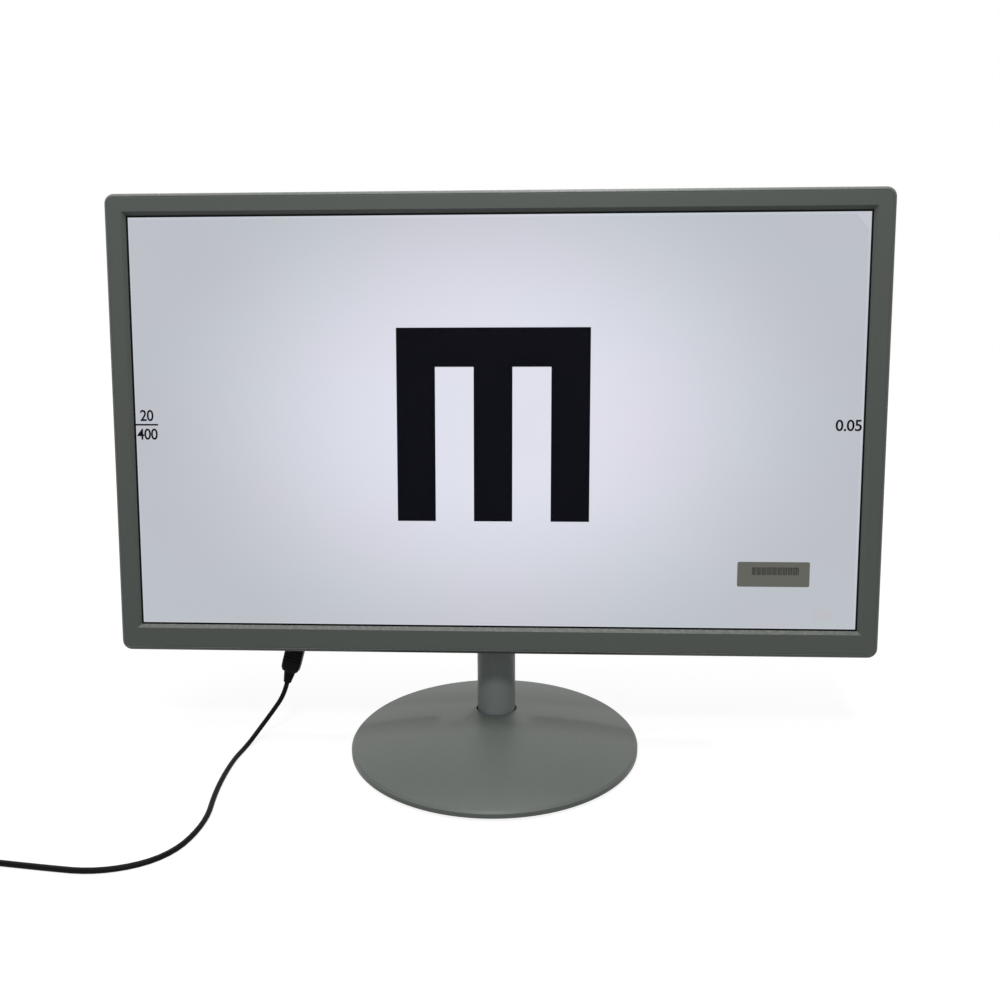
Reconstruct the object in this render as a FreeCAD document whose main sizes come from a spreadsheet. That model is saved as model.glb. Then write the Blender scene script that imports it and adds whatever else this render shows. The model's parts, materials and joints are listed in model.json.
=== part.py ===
import FreeCAD, Part

import math
import os

import Sketcher

# Visual acuity chart: a flat screen that shows test letters, on a round foot with a tilting neck.
# The row frame has its origin under the middle of the foot, +Z up, and the screen faces -Y.
# The head is drawn upright in its own frame: X across the screen, Y backward from the front of the
# glass, Z up from the middle of the picture. One placement then leans it back on the neck.

SIZES = {
    # Foot
    "foot_radius": 109.0,
    "foot_gap": 2.2,
    "foot_rim": 3.2,
    "foot_lip": 1.6,
    "foot_top": 17.0,
    "foot_wall": 2.5,
    "plate_room": 1.0,
    "plate_rim": 1.8,
    "plate_ledge": 17.5,
    "plate_thick": 5.0,
    "pad_radius": 8.0,
    "pad_edge": 0.4,
    "pad_in": 10.5,
    "boss_radius": 5.0,
    "boss_in": 16.0,
    # Neck
    "neck_back": 31.0,
    "neck_radius": 15.0,
    "neck_wall": 1.6,
    "neck_ring": 1.2,
    "sleeve_gap": 4.2,
    "cap_skirt": 4.8,
    "tube_radius": 11.0,
    "tube_wall": 2.5,
    "flange_radius": 26.0,
    "flange_thick": 3.6,
    "flange_circle": 19.0,
    "flange_screw": 2.5,
    # Hinge
    "hinge_height": 140.0,
    "hinge_drop": 103.8,
    "hinge_depth": 36.0,
    "rest_tilt": 6.0,
    "barrel_radius": 8.0,
    "barrel_half": 19.0,
    "washer_thick": 1.6,
    "washer_radius": 9.0,
    "pin_radius": 4.0,
    "pin_fit": 0.05,
    "ear_radius": 9.5,
    "ear_thick": 2.5,
    "nut_across": 12.0,
    "nut_thick": 5.0,
    "bracket_half": 27.0,
    "bracket_above": 44.0,
    "bracket_below": 8.0,
    "bracket_screw": 2.0,
    "bracket_screw_in": 15.5,
    "bracket_screw_edge": 8.0,
    "bracket_screw_up": 12.0,
    # Head shell
    "border_side": 16.48,
    "border_top": 16.67,
    "border_bottom": 20.97,
    "corner_radius": 7.0,
    "bezel_front": 3.0,
    "bezel_rear": 5.0,
    "bezel_wall": 2.2,
    "bezel_skin": 2.6,
    "bezel_round": 2.0,
    "bezel_slope": 2.4,
    "back_depth": 12.5,
    "back_wall": 2.0,
    "back_round": 3.0,
    "bulge_half": 190.0,
    "bulge_top": 76.0,
    "bulge_inset": 11.2,
    "bulge_depth": 46.0,
    "bulge_slope": 24.0,
    "bulge_corner": 14.0,
    "bulge_round": 4.0,
    "channel_half": 36.0,
    "channel_top": 52.0,
    "vent_width": 3.0,
    "vent_length": 22.0,
    "vent_pitch": 8.0,
    "vent_count": 27.0,
    "window_edge": 6.0,
    "cover_screw": 1.5,
    "screw_post": 3.2,
    "post_room": 1.0,
    "post_lift": 26.0,
    "anchor_post": 4.8,
    "anchor_gap": 12.0,
    "tab_width": 12.0,
    "tab_thick": 1.5,
    "tab_reach": 2.5,
    "tab_in": 60.0,
    "tab_out": 24.0,
    "vesa_pitch": 100.0,
    "vesa_middle": 32.0,
    "insert_radius": 3.0,
    "insert_bore": 2.0,
    "insert_length": 8.0,
    "insert_floor": 1.0,
    # Panel
    "active_width": 527.04,
    "active_height": 296.46,
    "black_rim": 1.3,
    "glass_over": 3.0,
    "glass_thick": 1.3,
    "film_inset": 1.0,
    "film_thick": 0.1,
    "film_cut": 7.0,
    "film_cut_side": 9.1,
    "sheet_thick": 0.6,
    "guide_thick": 3.4,
    "reflector_thick": 0.3,
    "frame_over": 2.0,
    "tray_thick": 0.8,
    "lamp_width": 4.0,
    "lamp_edge": 0.8,
    "lamp_count": 44.0,
    "strip_end": 2.0,
    "chassis_thick": 1.0,
    "chassis_in": 7.0,
    # Boards
    "board_thick": 1.6,
    "board_depth": 19.0,
    "board_bite": 4.0,
    "board_in": 19.0,
    "board_room": 4.0,
    "main_board_in": 50.0,
    "power_board_in": 108.0,
    "chip_width": 28.0,
    "chip_thick": 3.0,
    "strip_width": 56.0,
    "strip_tall": 7.0,
    "coil_width": 20.0,
    "coil_tall": 13.0,
    "tank_width": 12.0,
    "tank_tall": 24.0,
    "tank_deep": 7.0,
    "hdmi_width": 15.0,
    "hdmi_tall": 11.0,
    "hdmi_deep": 6.0,
    "usb_width": 14.0,
    "usb_tall": 12.0,
    "usb_deep": 6.2,
    "socket_first": 41.5,
    "socket_pitch": 30.0,
    "socket_room": 109.5,
    "socket_skin": 0.8,
    "socket_sunk": 0.4,
    # Keys
    "key_in": 22.0,
    "key_pitch": 14.0,
    "key_count": 5.0,
    "key_width": 9.0,
    "key_height": 4.6,
    "key_edge": 8.9,
    "key_proud": 1.2,
    "key_gap": 0.2,
    "key_travel": 0.6,
    # Plug and lead
    "jack_in": 38.5,
    "jack_lean": 14.8,
    "jack_width": 9.0,
    "jack_thick": 11.0,
    "jack_length": 13.0,
    "jack_sunk": 2.4,
    "jack_bore": 2.8,
    "nose_length": 9.5,
    "plug_length": 36.0,
    "plug_width": 15.5,
    "plug_thick": 10.0,
    "plug_shoulder": 3.5,
    "plug_room": 1.8,
    "relief_length": 9.0,
    "relief_radius": 3.4,
    "relief_lift": 1.6,
    "relief_out": 10.0,
    "lead_radius": 1.85,
    "table_gap": 0.05,
    "coil_radius": 22.0,
    "coil_bundle": 5.6,
    "coil_left": 320.0,
    "coil_front": 190.0,
    "adapter_length": 70.0,
    "adapter_width": 30.0,
    "adapter_tall": 44.0,
    "adapter_round": 4.0,
    "adapter_out": 21.0,
    "adapter_ahead": 74.0,
    "block_in": 8.0,
    "block_length": 28.0,
    "block_round": 8.0,
    "block_proud": 2.0,
    "prong_radius": 2.0,
    "prong_length": 19.0,
    "prong_pitch": 19.0,
    # Play between neighbours
    "slip": 0.3,
}

doc = FreeCAD.newDocument("acuity_chart")
sheet = doc.addObject("Spreadsheet::Sheet", "Size")
for row, (alias, amount) in enumerate(SIZES.items(), start=1):
    sheet.set(f"A{row}", alias)
    sheet.set(f"B{row}", str(amount))
    sheet.setAlias(f"B{row}", alias)
doc.recompute()


class Dim:
    """A length with its value in mm and the text that binds it to the sheet."""

    def __init__(self, value, text):
        self.value = float(value)
        self.text = text

    def __add__(self, other):
        other = dim(other)
        return Dim(self.value + other.value, f"({self.text} + {other.text})")

    def __sub__(self, other):
        other = dim(other)
        return Dim(self.value - other.value, f"({self.text} - {other.text})")

    def __mul__(self, other):
        other = dim(other)
        return Dim(self.value * other.value, f"({self.text} * {other.text})")

    def __truediv__(self, other):
        other = dim(other)
        return Dim(self.value / other.value, f"({self.text} / {other.text})")

    def __neg__(self):
        return Dim(-self.value, f"(0 - {self.text})")

    __radd__ = __add__
    __rmul__ = __mul__

    def __rsub__(self, other):
        return dim(other) - self

    def __float__(self):
        return self.value


def dim(number):
    if isinstance(number, Dim):
        return number
    return Dim(number, f"{float(number)!r}")


def cosine(angle):
    return Dim(math.cos(math.radians(angle.value)), f"cos({angle.text} * 1 deg)")


def sine(angle):
    return Dim(math.sin(math.radians(angle.value)), f"sin({angle.text} * 1 deg)")


class Sizes:
    """The sheet's cells by name."""

    def __getattr__(self, alias):
        return Dim(sheet.get(alias), f"Size.{alias}")


size = Sizes()


def bind(thing, prop, amount):
    thing.setExpression(prop, dim(amount).text)


def vector(across, back, up):
    return FreeCAD.Vector(float(across), float(back), float(up))


# Placements

def place(thing, across, back, up, lean=None):
    """Put a sub-part at a point of the row frame, leant back about X if it belongs to the head."""
    angle = 0.0 if lean is None else lean.value
    thing.Placement = FreeCAD.Placement(
        vector(across, back, up), FreeCAD.Rotation(FreeCAD.Vector(-1, 0, 0), angle)
    )
    bind(thing, "Placement.Base.x", across)
    bind(thing, "Placement.Base.y", back)
    bind(thing, "Placement.Base.z", up)


tilt_cos = cosine(size.rest_tilt)
tilt_sin = sine(size.rest_tilt)
head_back = size.neck_back - size.hinge_depth * tilt_cos + size.hinge_drop * tilt_sin
head_up = size.hinge_height + size.hinge_drop * tilt_cos + size.hinge_depth * tilt_sin


def on_head(thing):
    """Carry a piece that is drawn in the head's upright frame to its place on the neck."""
    place(thing, 0, head_back, head_up, size.rest_tilt)
    bind(thing, "Placement.Rotation.Angle", size.rest_tilt)


def head_shape(shape):
    """The same move for a bare shape."""
    shape.Placement = FreeCAD.Placement(
        vector(0, head_back, head_up),
        FreeCAD.Rotation(FreeCAD.Vector(-1, 0, 0), float(size.rest_tilt)),
    ).multiply(shape.Placement)
    return shape


# Outline of the head, counted outward from the lit picture
half_width = size.active_width / 2 + size.border_side
head_above = size.active_height / 2 + size.border_top
head_below = size.active_height / 2 + size.border_bottom
bulge_bottom = head_below - size.bulge_inset
key_drop = head_below - size.key_edge

# Outline of the display module, from the same picture
glass_half = size.active_width / 2 + size.glass_over
glass_up = size.active_height / 2 + size.glass_over
frame_half = glass_half + size.frame_over
frame_up = glass_up + size.frame_over


# Sketching

def new_body(label):
    body = doc.addObject("PartDesign::Body", label)
    body.Label = label
    return body


def sketch_on(body, role, height=0):
    """A sketch on one of the body's origin planes, moved along that plane's normal."""
    sketch = body.newObject("Sketcher::SketchObject", f"{body.Name}_outline")
    plane = next(f for f in body.Origin.OriginFeatures if f.Role == role)
    sketch.AttachmentSupport = [(plane, "")]
    sketch.MapMode = "FlatFace"
    bind(sketch, "AttachmentOffset.Base.z", height)
    return sketch


def fix(sketch, kind, where, amount):
    """A dimension in a sketch, bound to the sheet."""
    amount = dim(amount)
    index = sketch.addConstraint(Sketcher.Constraint(kind, *where, amount.value))
    sketch.setExpression(f"Constraints[{index}]", amount.text)


def polygon(sketch, points, domes=()):
    """A closed outline. The edges numbered in domes are arcs with their middle on the upright axis."""
    spots = [vector(x, y, 0) for x, y in points]
    last = len(spots)
    ends = []
    for i, start in enumerate(spots):
        stop = spots[(i + 1) % last]
        if i not in domes:
            geo = sketch.addGeometry(Part.LineSegment(start, stop))
            ends.append((geo, 1, 2))
            continue
        rise = (start.y ** 2 - stop.y ** 2 + start.x ** 2 - stop.x ** 2) / (2 * (start.y - stop.y))
        middle = FreeCAD.Vector(0, rise, 0)
        reach = (start - middle).Length
        first = math.atan2(start.y - rise, start.x)
        second = math.atan2(stop.y - rise, stop.x)
        swapped = first > second
        low, high = min(first, second), max(first, second)
        ring = Part.Circle(middle, FreeCAD.Vector(0, 0, 1), reach)
        geo = sketch.addGeometry(Part.ArcOfCircle(ring, low, high))
        sketch.addConstraint(Sketcher.Constraint("PointOnObject", geo, 3, -2))
        ends.append((geo, 2, 1) if swapped else (geo, 1, 2))
    for i, (geo, begin, end) in enumerate(ends):
        following = ends[(i + 1) % last]
        sketch.addConstraint(Sketcher.Constraint("Coincident", geo, end, following[0], following[1]))
        fix(sketch, "DistanceX", (geo, begin), points[i][0])
        fix(sketch, "DistanceY", (geo, begin), points[i][1])


def box_outline(sketch, left, right, low, high):
    polygon(sketch, [(left, low), (right, low), (right, high), (left, high)])


def corner_arc(ring, corner):
    """A quarter of a circle, for the corners of a rectangle counted from the lower right one."""
    quarter = math.pi / 2
    return Part.ArcOfCircle(ring, quarter * (corner - 1), quarter * corner)


def round_outline(sketch, left, right, low, high, radius):
    """A rectangle with four round corners."""
    x0, x1, y0, y1, r = (float(n) for n in (left, right, low, high, radius))
    up = FreeCAD.Vector(0, 0, 1)
    middles = [(x1 - r, y0 + r), (x1 - r, y1 - r), (x0 + r, y1 - r), (x0 + r, y0 + r)]
    arcs = []
    for corner, (x, y) in enumerate(middles):
        ring = Part.Circle(FreeCAD.Vector(x, y, 0), up, r)
        arcs.append(sketch.addGeometry(corner_arc(ring, corner)))
    for i, arc in enumerate(arcs):
        following = arcs[(i + 1) % 4]
        start = sketch.getPoint(arc, 2)
        stop = sketch.getPoint(following, 1)
        side = sketch.addGeometry(Part.LineSegment(start, stop))
        sketch.addConstraint(Sketcher.Constraint("Tangent", arc, 2, side, 1))
        sketch.addConstraint(Sketcher.Constraint("Tangent", side, 2, following, 1))
        sketch.addConstraint(Sketcher.Constraint("Vertical" if i % 2 == 0 else "Horizontal", side))
        if i:
            sketch.addConstraint(Sketcher.Constraint("Equal", arcs[0], arc))
    fix(sketch, "Radius", (arcs[0],), radius)
    fix(sketch, "DistanceX", (arcs[0], 2), right)
    fix(sketch, "DistanceX", (arcs[2], 2), left)
    fix(sketch, "DistanceY", (arcs[1], 2), high)
    fix(sketch, "DistanceY", (arcs[3], 2), low)


def circle_outline(sketch, x, y, radius):
    ring = Part.Circle(vector(x, y, 0), FreeCAD.Vector(0, 0, 1), float(radius))
    geo = sketch.addGeometry(ring)
    fix(sketch, "Radius", (geo,), radius)
    fix(sketch, "DistanceX", (geo, 3), x)
    fix(sketch, "DistanceY", (geo, 3), y)


# Features

def pad(body, sketch, length, backward=False):
    feature = body.newObject("PartDesign::Pad", f"{body.Name}_pad")
    feature.Profile = sketch
    feature.Length = float(length)
    bind(feature, "Length", length)
    feature.Reversed = backward
    return feature


def pocket(body, sketch, length, backward=False):
    feature = body.newObject("PartDesign::Pocket", f"{body.Name}_pocket")
    feature.Profile = sketch
    feature.Length = float(length)
    bind(feature, "Length", length)
    feature.Reversed = backward
    return feature


def revolve(body, sketch):
    feature = body.newObject("PartDesign::Revolution", f"{body.Name}_turned")
    feature.Profile = sketch
    feature.ReferenceAxis = (sketch, ["V_Axis"])
    feature.Angle = 360.0
    return feature


def ring_of(body, features, count):
    """Repeat features about the upright axis of the body."""
    axis = next(f for f in body.Origin.OriginFeatures if f.Role == "Z_Axis")
    pattern = body.newObject("PartDesign::PolarPattern", f"{body.Name}_ring")
    pattern.Originals = features
    pattern.Axis = (axis, [""])
    pattern.Angle = 360.0
    pattern.Occurrences = count
    body.Tip = pattern
    return pattern


def row_of(body, features, pitch, count):
    """Repeat features along X."""
    axis = next(f for f in body.Origin.OriginFeatures if f.Role == "X_Axis")
    pattern = body.newObject("PartDesign::LinearPattern", f"{body.Name}_row")
    pattern.Originals = features
    pattern.Direction = (axis, [""])
    pattern.Length = float(pitch) * (count - 1)
    bind(pattern, "Length", pitch * (count - 1))
    pattern.Occurrences = count
    body.Tip = pattern
    return pattern


def edges_where(feature, test):
    """Names of the edges whose middle and direction pass a test."""
    names = []
    for number, edge in enumerate(feature.Shape.Edges, start=1):
        middle = edge.valueAt((edge.FirstParameter + edge.LastParameter) / 2)
        if test(middle, edge):
            names.append(f"Edge{number}")
    return names


def round_off(body, feature, radius, test):
    doc.recompute()
    fillet = body.newObject("PartDesign::Fillet", f"{body.Name}_round")
    fillet.Base = (feature, edges_where(feature, test))
    fillet.Radius = float(radius)
    bind(fillet, "Radius", radius)
    return fillet


def slab(body, near, far, draw):
    """Material of the head between two depths behind the glass, in the outline that draw makes."""
    sketch = sketch_on(body, "XZ_Plane", -dim(near))
    draw(sketch)
    return pad(body, sketch, dim(far) - near, backward=True)


def cut(body, near, far, draw):
    """A hollow of the head between two depths behind the glass."""
    sketch = sketch_on(body, "XZ_Plane", -dim(near))
    draw(sketch)
    return pocket(body, sketch, dim(far) - near)


def disc(body, low, high, draw):
    """Material of the foot between two heights."""
    sketch = sketch_on(body, "XY_Plane", low)
    draw(sketch)
    return pad(body, sketch, dim(high) - low)


def bore(body, low, high, draw):
    """A hollow of the foot between two heights."""
    sketch = sketch_on(body, "XY_Plane", low)
    draw(sketch)
    return pocket(body, sketch, dim(high) - low, backward=True)


def loft(body, kind, stations):
    """A loft between outlines at several depths behind the glass."""
    sketches = []
    for depth, draw in stations:
        sketch = sketch_on(body, "XZ_Plane", -dim(depth))
        draw(sketch)
        sketches.append(sketch)
    feature = body.newObject(kind, f"{body.Name}_loft")
    feature.Profile = sketches[0]
    feature.Sections = sketches[1:]
    feature.Ruled = True
    return feature


def rectangle(left, right, low, high, radius=None):
    """An outline for slab, cut and loft."""
    if radius is None:
        return lambda sketch: box_outline(sketch, left, right, low, high)
    return lambda sketch: round_outline(sketch, left, right, low, high, radius)


def group(label, shapes):
    """Like pieces that share one node."""
    thing = doc.addObject("Part::Feature", label)
    thing.Label = label
    thing.Shape = shapes[0] if len(shapes) == 1 else Part.makeCompound(shapes)
    return thing


def turned(profile, at, axis):
    """A solid turned from (radius, height) points, then stood at a point along an axis."""
    points = [FreeCAD.Vector(float(r), 0, float(height)) for r, height in profile]
    face = Part.Face(Part.makePolygon(points + points[:1]))
    solid = face.revolve(FreeCAD.Vector(0, 0, 0), FreeCAD.Vector(0, 0, 1), 360)
    turn = FreeCAD.Rotation(FreeCAD.Vector(0, 0, 1), FreeCAD.Vector(*axis))
    solid.Placement = FreeCAD.Placement(at, turn)
    return solid


# A pan head in shares of its shank's radius, and the recess that takes it
HEAD_WIDE = 1.9
HEAD_TOP = 1.52
HEAD_TALL = 1.1
SINK_WIDE = 2.2


def screw(shank, length, at, axis):
    """A pan head screw whose head rests at the point and whose shank runs along the axis."""
    shank = float(shank)
    length = float(length)
    tall = shank * HEAD_TALL
    profile = [
        (0, -tall),
        (shank * HEAD_TOP, -tall),
        (shank * HEAD_WIDE, 0),
        (shank, 0),
        (shank, length),
        (0, length),
    ]
    return turned(profile, at, axis)


# Foot: a domed moulded cover over a heavy steel plate, on rubber pads

shoulder = size.foot_gap + size.foot_rim
plate_low = size.foot_gap
plate_high = plate_low + size.plate_thick
inner_radius = size.foot_radius - size.foot_wall
dome_edge = size.foot_radius - size.foot_lip
dome_rise = size.foot_top - shoulder - size.foot_lip
plate_radius = inner_radius - size.plate_room
plate_step = plate_radius - size.plate_ledge
pad_circle = plate_radius - size.pad_in
boss_circle = plate_step - size.boss_in
boss_side = boss_circle * cosine(dim(45))


def under_dome(reach):
    """Height of the cover's inner face at a distance from the middle of the foot."""
    share = reach / dome_edge
    return size.foot_top - size.foot_wall - dome_rise * share * share


def make_base_cover():
    """The dome is one arc outside and four straight runs inside, over a short upright rim."""
    body = new_body("base_cover")
    sketch = sketch_on(body, "XZ_Plane")
    inner_edge = inner_radius - size.foot_lip
    points = [(0, size.foot_top), (0, size.foot_top - size.foot_wall)]
    for share in (0.25, 0.5, 0.75):
        points.append((inner_edge * share, under_dome(inner_edge * share)))
    points += [
        (inner_edge, shoulder + size.foot_lip - size.foot_wall),
        (inner_radius, shoulder - size.foot_wall / 2),
        (inner_radius, size.foot_gap),
        (size.foot_radius, size.foot_gap),
        (size.foot_radius, shoulder),
        (dome_edge, shoulder + size.foot_lip),
    ]
    polygon(sketch, points, domes=(len(points) - 1,))
    revolve(body, sketch)
    hole = size.neck_radius + size.neck_ring
    bore(body, 0, size.foot_top * 2, lambda s: circle_outline(s, 0, size.neck_back, hole))
    roof = under_dome(boss_circle) + size.foot_wall / 2
    boss = disc(body, plate_high, roof, lambda s: circle_outline(s, boss_side, boss_side, size.boss_radius))
    pilot_top = under_dome(boss_circle) + size.slip
    pilot = bore(body, 0, pilot_top, lambda s: circle_outline(s, boss_side, boss_side, size.cover_screw))
    ring_of(body, [boss, pilot], 4)
    return body


def make_base_plate():
    body = new_body("base_plate")
    sketch = sketch_on(body, "XZ_Plane")
    polygon(
        sketch,
        [
            (0, plate_low),
            (plate_radius, plate_low),
            (plate_radius, plate_low + size.plate_rim),
            (plate_step, plate_low + size.plate_rim),
            (plate_step, plate_high),
            (0, plate_high),
        ],
    )
    revolve(body, sketch)
    clear = size.cover_screw + size.slip
    sink = size.cover_screw * SINK_WIDE
    holes = [
        bore(body, plate_low, plate_high, lambda s: circle_outline(s, boss_side, boss_side, clear)),
        bore(
            body,
            plate_low,
            plate_low + sink_depth,
            lambda s: circle_outline(s, boss_side, boss_side, sink),
        ),
    ]
    ring_of(body, holes, 4)
    for turn in range(3):
        x, y = flange_spot(turn)
        bore(body, plate_low, plate_high, lambda s: circle_outline(s, x, y, size.flange_screw + size.slip))
        last = bore(
            body,
            plate_low,
            plate_low + flange_sink,
            lambda s: circle_outline(s, x, y, size.flange_screw * SINK_WIDE),
        )
        body.Tip = last
    return body


sink_depth = size.cover_screw * HEAD_TALL + size.slip
flange_sink = size.flange_screw * HEAD_TALL + size.slip


def flange_spot(turn):
    """Middle of one of the three screws that hold the neck down."""
    angle = Dim(90 + 120 * turn, f"{90 + 120 * turn}")
    across = size.flange_circle * cosine(angle)
    return across, size.neck_back + size.flange_circle * sine(angle)


def make_base_pads():
    shapes = []
    for turn in range(6):
        angle = math.radians(30 + 60 * turn)
        reach = float(pad_circle)
        at = FreeCAD.Vector(reach * math.cos(angle), reach * math.sin(angle), 0)
        profile = [
            (0, 0),
            (size.pad_radius - size.pad_edge, 0),
            (size.pad_radius, size.pad_edge),
            (size.pad_radius, size.foot_gap),
            (0, size.foot_gap),
        ]
        shapes.append(turned(profile, at, (0, 0, 1)))
    return group("base_pads", shapes)


def make_base_screws():
    shapes = []
    length = under_dome(boss_circle) - plate_low - sink_depth - size.slip
    for across in (-boss_side, boss_side):
        for back in (-boss_side, boss_side):
            at = vector(across, back, plate_low + sink_depth)
            shapes.append(screw(size.cover_screw, length, at, (0, 0, 1)))
    return group("base_screws", shapes)


# Neck: a painted sleeve over a steel tube that is welded to a flange

flange_top = plate_high + size.flange_thick
sleeve_top = size.hinge_height - size.barrel_radius - size.sleeve_gap


def make_neck_tube():
    body = new_body("neck_tube")
    place(body, 0, size.neck_back, 0)
    sketch = sketch_on(body, "XZ_Plane")
    inner = size.tube_radius - size.tube_wall
    polygon(
        sketch,
        [
            (inner, plate_high),
            (size.flange_radius, plate_high),
            (size.flange_radius, flange_top),
            (size.tube_radius, flange_top),
            (size.tube_radius, size.hinge_height),
            (inner, size.hinge_height),
        ],
    )
    revolve(body, sketch)
    for turn in range(3):
        x, y = flange_spot(turn)
        bore(
            body,
            plate_high,
            flange_top,
            lambda s: circle_outline(s, x, y - size.neck_back, size.flange_screw),
        )
    saddle = sketch_on(body, "YZ_Plane", -size.neck_radius)
    circle_outline(saddle, 0, size.hinge_height, size.barrel_radius)
    last = pocket(body, saddle, size.neck_radius * 2, backward=True)
    body.Tip = last
    return body


def make_flange_screws():
    shapes = []
    length = flange_top - plate_low - flange_sink
    for turn in range(3):
        x, y = flange_spot(turn)
        at = vector(x, y, plate_low + flange_sink)
        shapes.append(screw(size.flange_screw, length, at, (0, 0, 1)))
    return group("flange_screws", shapes)


def make_neck_sleeve():
    body = new_body("neck_sleeve")
    place(body, 0, size.neck_back, 0)
    sketch = sketch_on(body, "XZ_Plane")
    inner = size.neck_radius - size.neck_wall
    polygon(
        sketch,
        [
            (inner, flange_top),
            (size.neck_radius, flange_top),
            (size.neck_radius, sleeve_top),
            (inner, sleeve_top),
        ],
    )
    revolve(body, sketch)
    return body


def make_neck_cap():
    body = new_body("neck_cap")
    place(body, 0, size.neck_back, 0)
    sketch = sketch_on(body, "XZ_Plane")
    crown = sleeve_top + size.neck_wall
    skirt = size.neck_radius - size.neck_wall
    polygon(
        sketch,
        [
            (size.tube_radius, sleeve_top - size.cap_skirt),
            (skirt, sleeve_top - size.cap_skirt),
            (skirt, sleeve_top),
            (size.neck_radius, sleeve_top),
            (size.neck_radius - size.neck_wall / 2, crown),
            (size.tube_radius, crown),
        ],
    )
    revolve(body, sketch)
    return body


# Hinge: a barrel on the neck, a bolt through it and two ears of the head's bracket

def along_hinge(profile):
    """A solid turned about the hinge's axis, with heights counted from the middle toward +X."""
    at = vector(0, size.neck_back, size.hinge_height)
    return turned(profile, at, (1, 0, 0))


def make_hinge_barrel():
    hole = size.pin_radius + size.pin_fit
    half = size.barrel_half
    profile = [
        (hole, -half),
        (size.barrel_radius, -half),
        (size.barrel_radius, half),
        (hole, half),
    ]
    return group("hinge_barrel", [along_hinge(profile)])


ear_near = size.barrel_half + size.washer_thick
ear_far = ear_near + size.ear_thick


def make_friction_washers():
    hole = size.pin_radius + size.pin_fit
    shapes = []
    for low, high in ((size.barrel_half, ear_near), (-ear_near, -size.barrel_half)):
        profile = [(hole, low), (size.washer_radius, low), (size.washer_radius, high), (hole, high)]
        shapes.append(along_hinge(profile))
    return group("friction_washers", shapes)


def hexagon(across, low, high):
    """A hexagonal prism on the hinge's axis."""
    reach = float(across) / math.sqrt(3)
    points = []
    for turn in range(7):
        angle = math.radians(60 * turn)
        points.append(FreeCAD.Vector(0, reach * math.cos(angle), reach * math.sin(angle)))
    face = Part.Face(Part.makePolygon(points))
    prism = face.extrude(FreeCAD.Vector(float(high) - float(low), 0, 0))
    prism.Placement.Base = vector(low, size.neck_back, size.hinge_height)
    return prism


def make_hinge_bolt():
    tail = ear_far + size.nut_thick + size.washer_thick
    shank = along_hinge([(0, -ear_far), (size.pin_radius, -ear_far), (size.pin_radius, tail), (0, tail)])
    head = hexagon(size.nut_across, -ear_far - size.nut_thick, -ear_far)
    return group("hinge_bolt", [shank.fuse(head).removeSplitter()])


def make_hinge_nut():
    nut = hexagon(size.nut_across, ear_far, ear_far + size.nut_thick)
    hole = along_hinge(
        [
            (0, ear_far - size.slip),
            (size.pin_radius, ear_far - size.slip),
            (size.pin_radius, ear_far + size.nut_thick + size.slip),
            (0, ear_far + size.nut_thick + size.slip),
        ]
    )
    return group("hinge_nut", [nut.cut(hole)])


# The bracket is pressed from one sheet: a plate on the back of the head and two ears on the bolt
bracket_near = size.back_depth
bracket_far = size.back_depth + size.ear_thick
bracket_high = size.bracket_above - size.hinge_drop
bracket_low = -size.hinge_drop - size.bracket_below


def bracket_spots():
    """The four screws of the bracket, in the head's frame."""
    upper = bracket_high - size.bracket_screw_edge
    lower = size.bracket_screw_up - size.hinge_drop
    for across in (-size.bracket_screw_in, size.bracket_screw_in):
        for up in (lower, upper):
            yield across, up


def make_hinge_bracket():
    body = new_body("hinge_bracket")
    on_head(body)
    plate = rectangle(-size.bracket_half, size.bracket_half, bracket_low, bracket_high)
    slab(body, bracket_near, bracket_far, plate)
    for low in (-ear_far, ear_near):
        sketch = sketch_on(body, "YZ_Plane", low)
        ear_outline(sketch)
        pad(body, sketch, size.ear_thick)
    sketch = sketch_on(body, "YZ_Plane", -size.bracket_half * 2)
    circle_outline(sketch, size.hinge_depth, -size.hinge_drop, size.pin_radius + size.pin_fit)
    pocket(body, sketch, size.bracket_half * 4, backward=True)
    sketch = sketch_on(body, "XZ_Plane", -bracket_near)
    for across, up in bracket_spots():
        circle_outline(sketch, across, up, size.bracket_screw + size.slip)
    body.Tip = pocket(body, sketch, size.ear_thick)
    return body


def ear_outline(sketch):
    """A round ear about the bolt that widens to its foot on the plate."""
    y, z, r = (float(n) for n in (size.hinge_depth, -size.hinge_drop, size.ear_radius))
    foot = float(bracket_far)
    ring = Part.Circle(FreeCAD.Vector(y, z, 0), FreeCAD.Vector(0, 0, 1), r)
    bend = sketch.addGeometry(Part.ArcOfCircle(ring, -math.pi / 2, math.pi / 2))
    corners = [
        FreeCAD.Vector(y, z + r, 0),
        FreeCAD.Vector(foot, z + r * 2, 0),
        FreeCAD.Vector(foot, z - r, 0),
        FreeCAD.Vector(y, z - r, 0),
    ]
    top, back, low = (
        sketch.addGeometry(Part.LineSegment(start, stop)) for start, stop in zip(corners, corners[1:])
    )
    loop = (bend, top, back, low)
    for first, second in zip(loop, (top, back, low, bend)):
        sketch.addConstraint(Sketcher.Constraint("Coincident", first, 2, second, 1))
    fix(sketch, "Radius", (bend,), size.ear_radius)
    fix(sketch, "DistanceX", (bend, 3), size.hinge_depth)
    fix(sketch, "DistanceY", (bend, 3), -size.hinge_drop)
    fix(sketch, "DistanceX", (bend, 1), size.hinge_depth)
    fix(sketch, "DistanceX", (bend, 2), size.hinge_depth)
    fix(sketch, "DistanceX", (back, 1), bracket_far)
    fix(sketch, "DistanceY", (back, 1), size.ear_radius * 2 - size.hinge_drop)
    fix(sketch, "DistanceX", (back, 2), bracket_far)
    fix(sketch, "DistanceY", (back, 2), -size.hinge_drop - size.bracket_below)


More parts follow.
